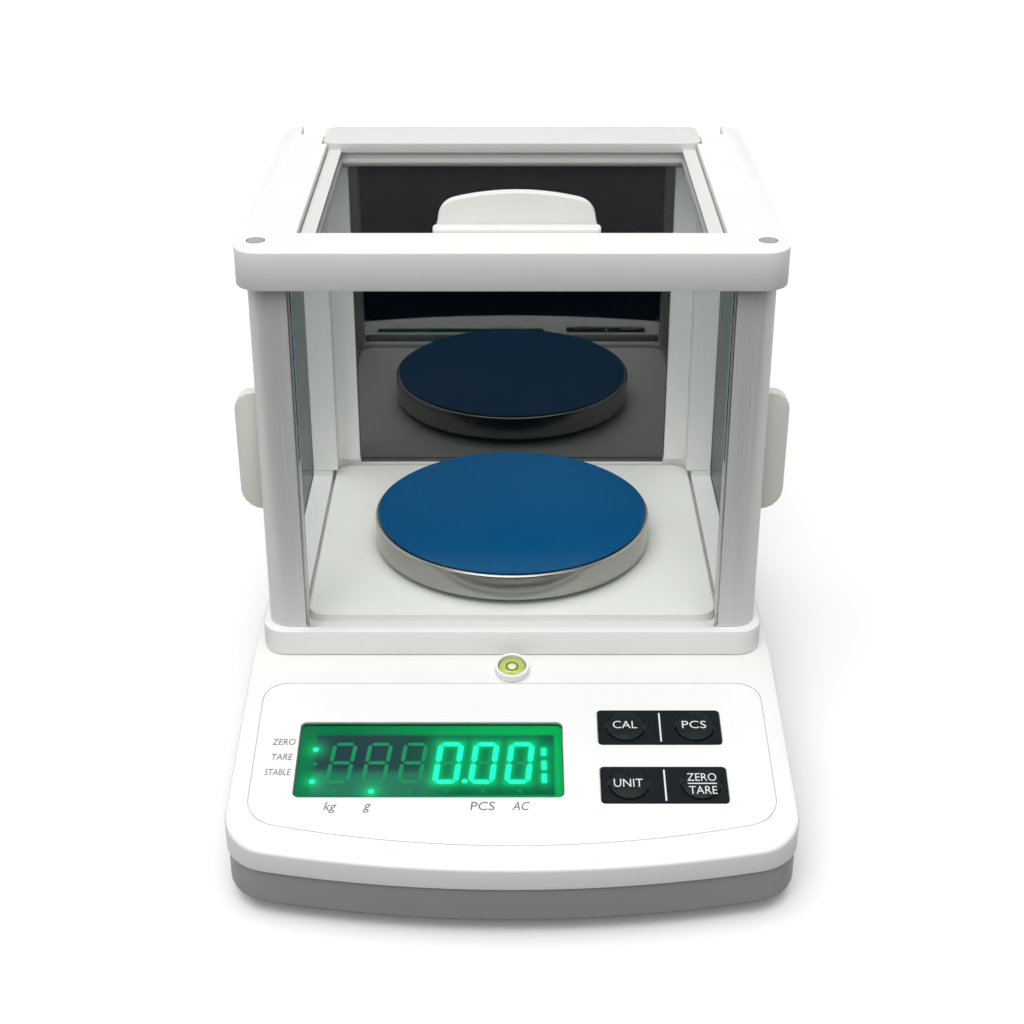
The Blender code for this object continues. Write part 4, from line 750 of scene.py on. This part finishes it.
FLOOR_REACH = 8.0
FLOOR_HEIGHT = -0.2 * MM
FOCAL_LENGTH = 62.17
SENSOR_WIDTH = 36
CAMERA_PLACE = (0, -0.6438, 0.4276)
CAMERA_DOWN = 27.176


def floor():
    """Pale floor: white to the eye and in reflections, while little of its light reaches the object."""
    mesh = bpy.data.meshes.new("floor")
    reach, height = FLOOR_REACH, FLOOR_HEIGHT
    mesh.from_pydata([(-reach, -reach, height), (reach, -reach, height), (reach, reach, height),
                      (-reach, reach, height)], [], [(0, 1, 2, 3)])
    made = surface("floor", (0.92, 0.92, 0.92), 0.9)
    tree = made.node_tree
    seen = tree.nodes["Principled BSDF"]
    seen.inputs["Specular IOR Level"].default_value = 0.0
    seen.inputs["Emission Color"].default_value = (1, 1, 1, 1)
    seen.inputs["Emission Strength"].default_value = 0.05
    bounce = node(tree, "BsdfDiffuse")
    bounce.inputs["Color"].default_value = (0.06, 0.06, 0.06, 1)
    mix = node(tree, "MixShader")
    tree.links.new(seen_directly(tree), mix.inputs["Fac"])
    tree.links.new(bounce.outputs["BSDF"], mix.inputs[1])
    tree.links.new(seen.outputs["BSDF"], mix.inputs[2])
    tree.links.new(mix.outputs["Shader"], tree.nodes["Material Output"].inputs["Surface"])
    mesh.materials.append(made)
    new = bpy.data.objects.new("floor", mesh)
    bpy.context.scene.collection.objects.link(new)


def dark_card():
    """Dark card in front of the scale, as a studio uses it, which shows only in reflections."""
    mesh = bpy.data.meshes.new("dark_card")
    near, far, half, top = -0.15, -2.4, 1.6, 1.0
    mesh.from_pydata([(-half, near, 0.001), (half, near, 0.001), (half, far, 0.001), (-half, far, 0.001),
                      (-half, far, top), (half, far, top)], [], [(0, 1, 2, 3), (3, 2, 5, 4)])
    made = surface("dark_card", (0.0, 0.003, 0.006), 0.9, Specular_IOR_Level=0.0)
    mesh.materials.append(made)
    new = bpy.data.objects.new("dark_card", mesh)
    bpy.context.scene.collection.objects.link(new)
    new.visible_camera = False
    new.visible_diffuse = False
    new.visible_transmission = False
    new.visible_shadow = False


def world():
    """White surroundings to the eye and in reflections, and a weaker even light on the object."""
    made = bpy.data.worlds.new("studio")
    bpy.context.scene.world = made
    made.use_nodes = True
    tree = made.node_tree
    light = tree.nodes["Background"]
    light.inputs["Color"].default_value = (1, 1, 1, 1)
    light.inputs["Strength"].default_value = 0.32
    seen = node(tree, "Background")
    seen.inputs["Color"].default_value = (1, 1, 1, 1)
    mix = node(tree, "MixShader")
    tree.links.new(seen_directly(tree), mix.inputs["Fac"])
    tree.links.new(light.outputs["Background"], mix.inputs[1])
    tree.links.new(seen.outputs["Background"], mix.inputs[2])
    tree.links.new(mix.outputs["Shader"], tree.nodes["World Output"].inputs["Surface"])


def sun(name, strength, angle, aim):
    """Soft distant light that shines along aim."""
    data = bpy.data.lights.new(name, "SUN")
    data.energy = strength
    data.angle = math.radians(angle)
    new = bpy.data.objects.new(name, data)
    new.rotation_euler = Vector(aim).to_track_quat("-Z", "Y").to_euler()
    bpy.context.scene.collection.objects.link(new)


def camera():
    """Camera at the place and angle that were solved from the photograph."""
    data = bpy.data.cameras.new("camera")
    data.lens = FOCAL_LENGTH
    data.sensor_width = SENSOR_WIDTH
    data.clip_start = 0.01
    new = bpy.data.objects.new("camera", data)
    new.location = CAMERA_PLACE
    new.rotation_euler = (math.radians(90 - CAMERA_DOWN), 0, 0)
    bpy.context.scene.collection.objects.link(new)
    bpy.context.scene.camera = new


floor()
dark_card()
world()
sun("sun_above", 1.75, 60, (0.1, 0.1, -1))
sun("sun_front", 1.15, 50, (0.12, 0.84, -1))
camera()
bpy.context.scene.view_settings.view_transform = "Standard"
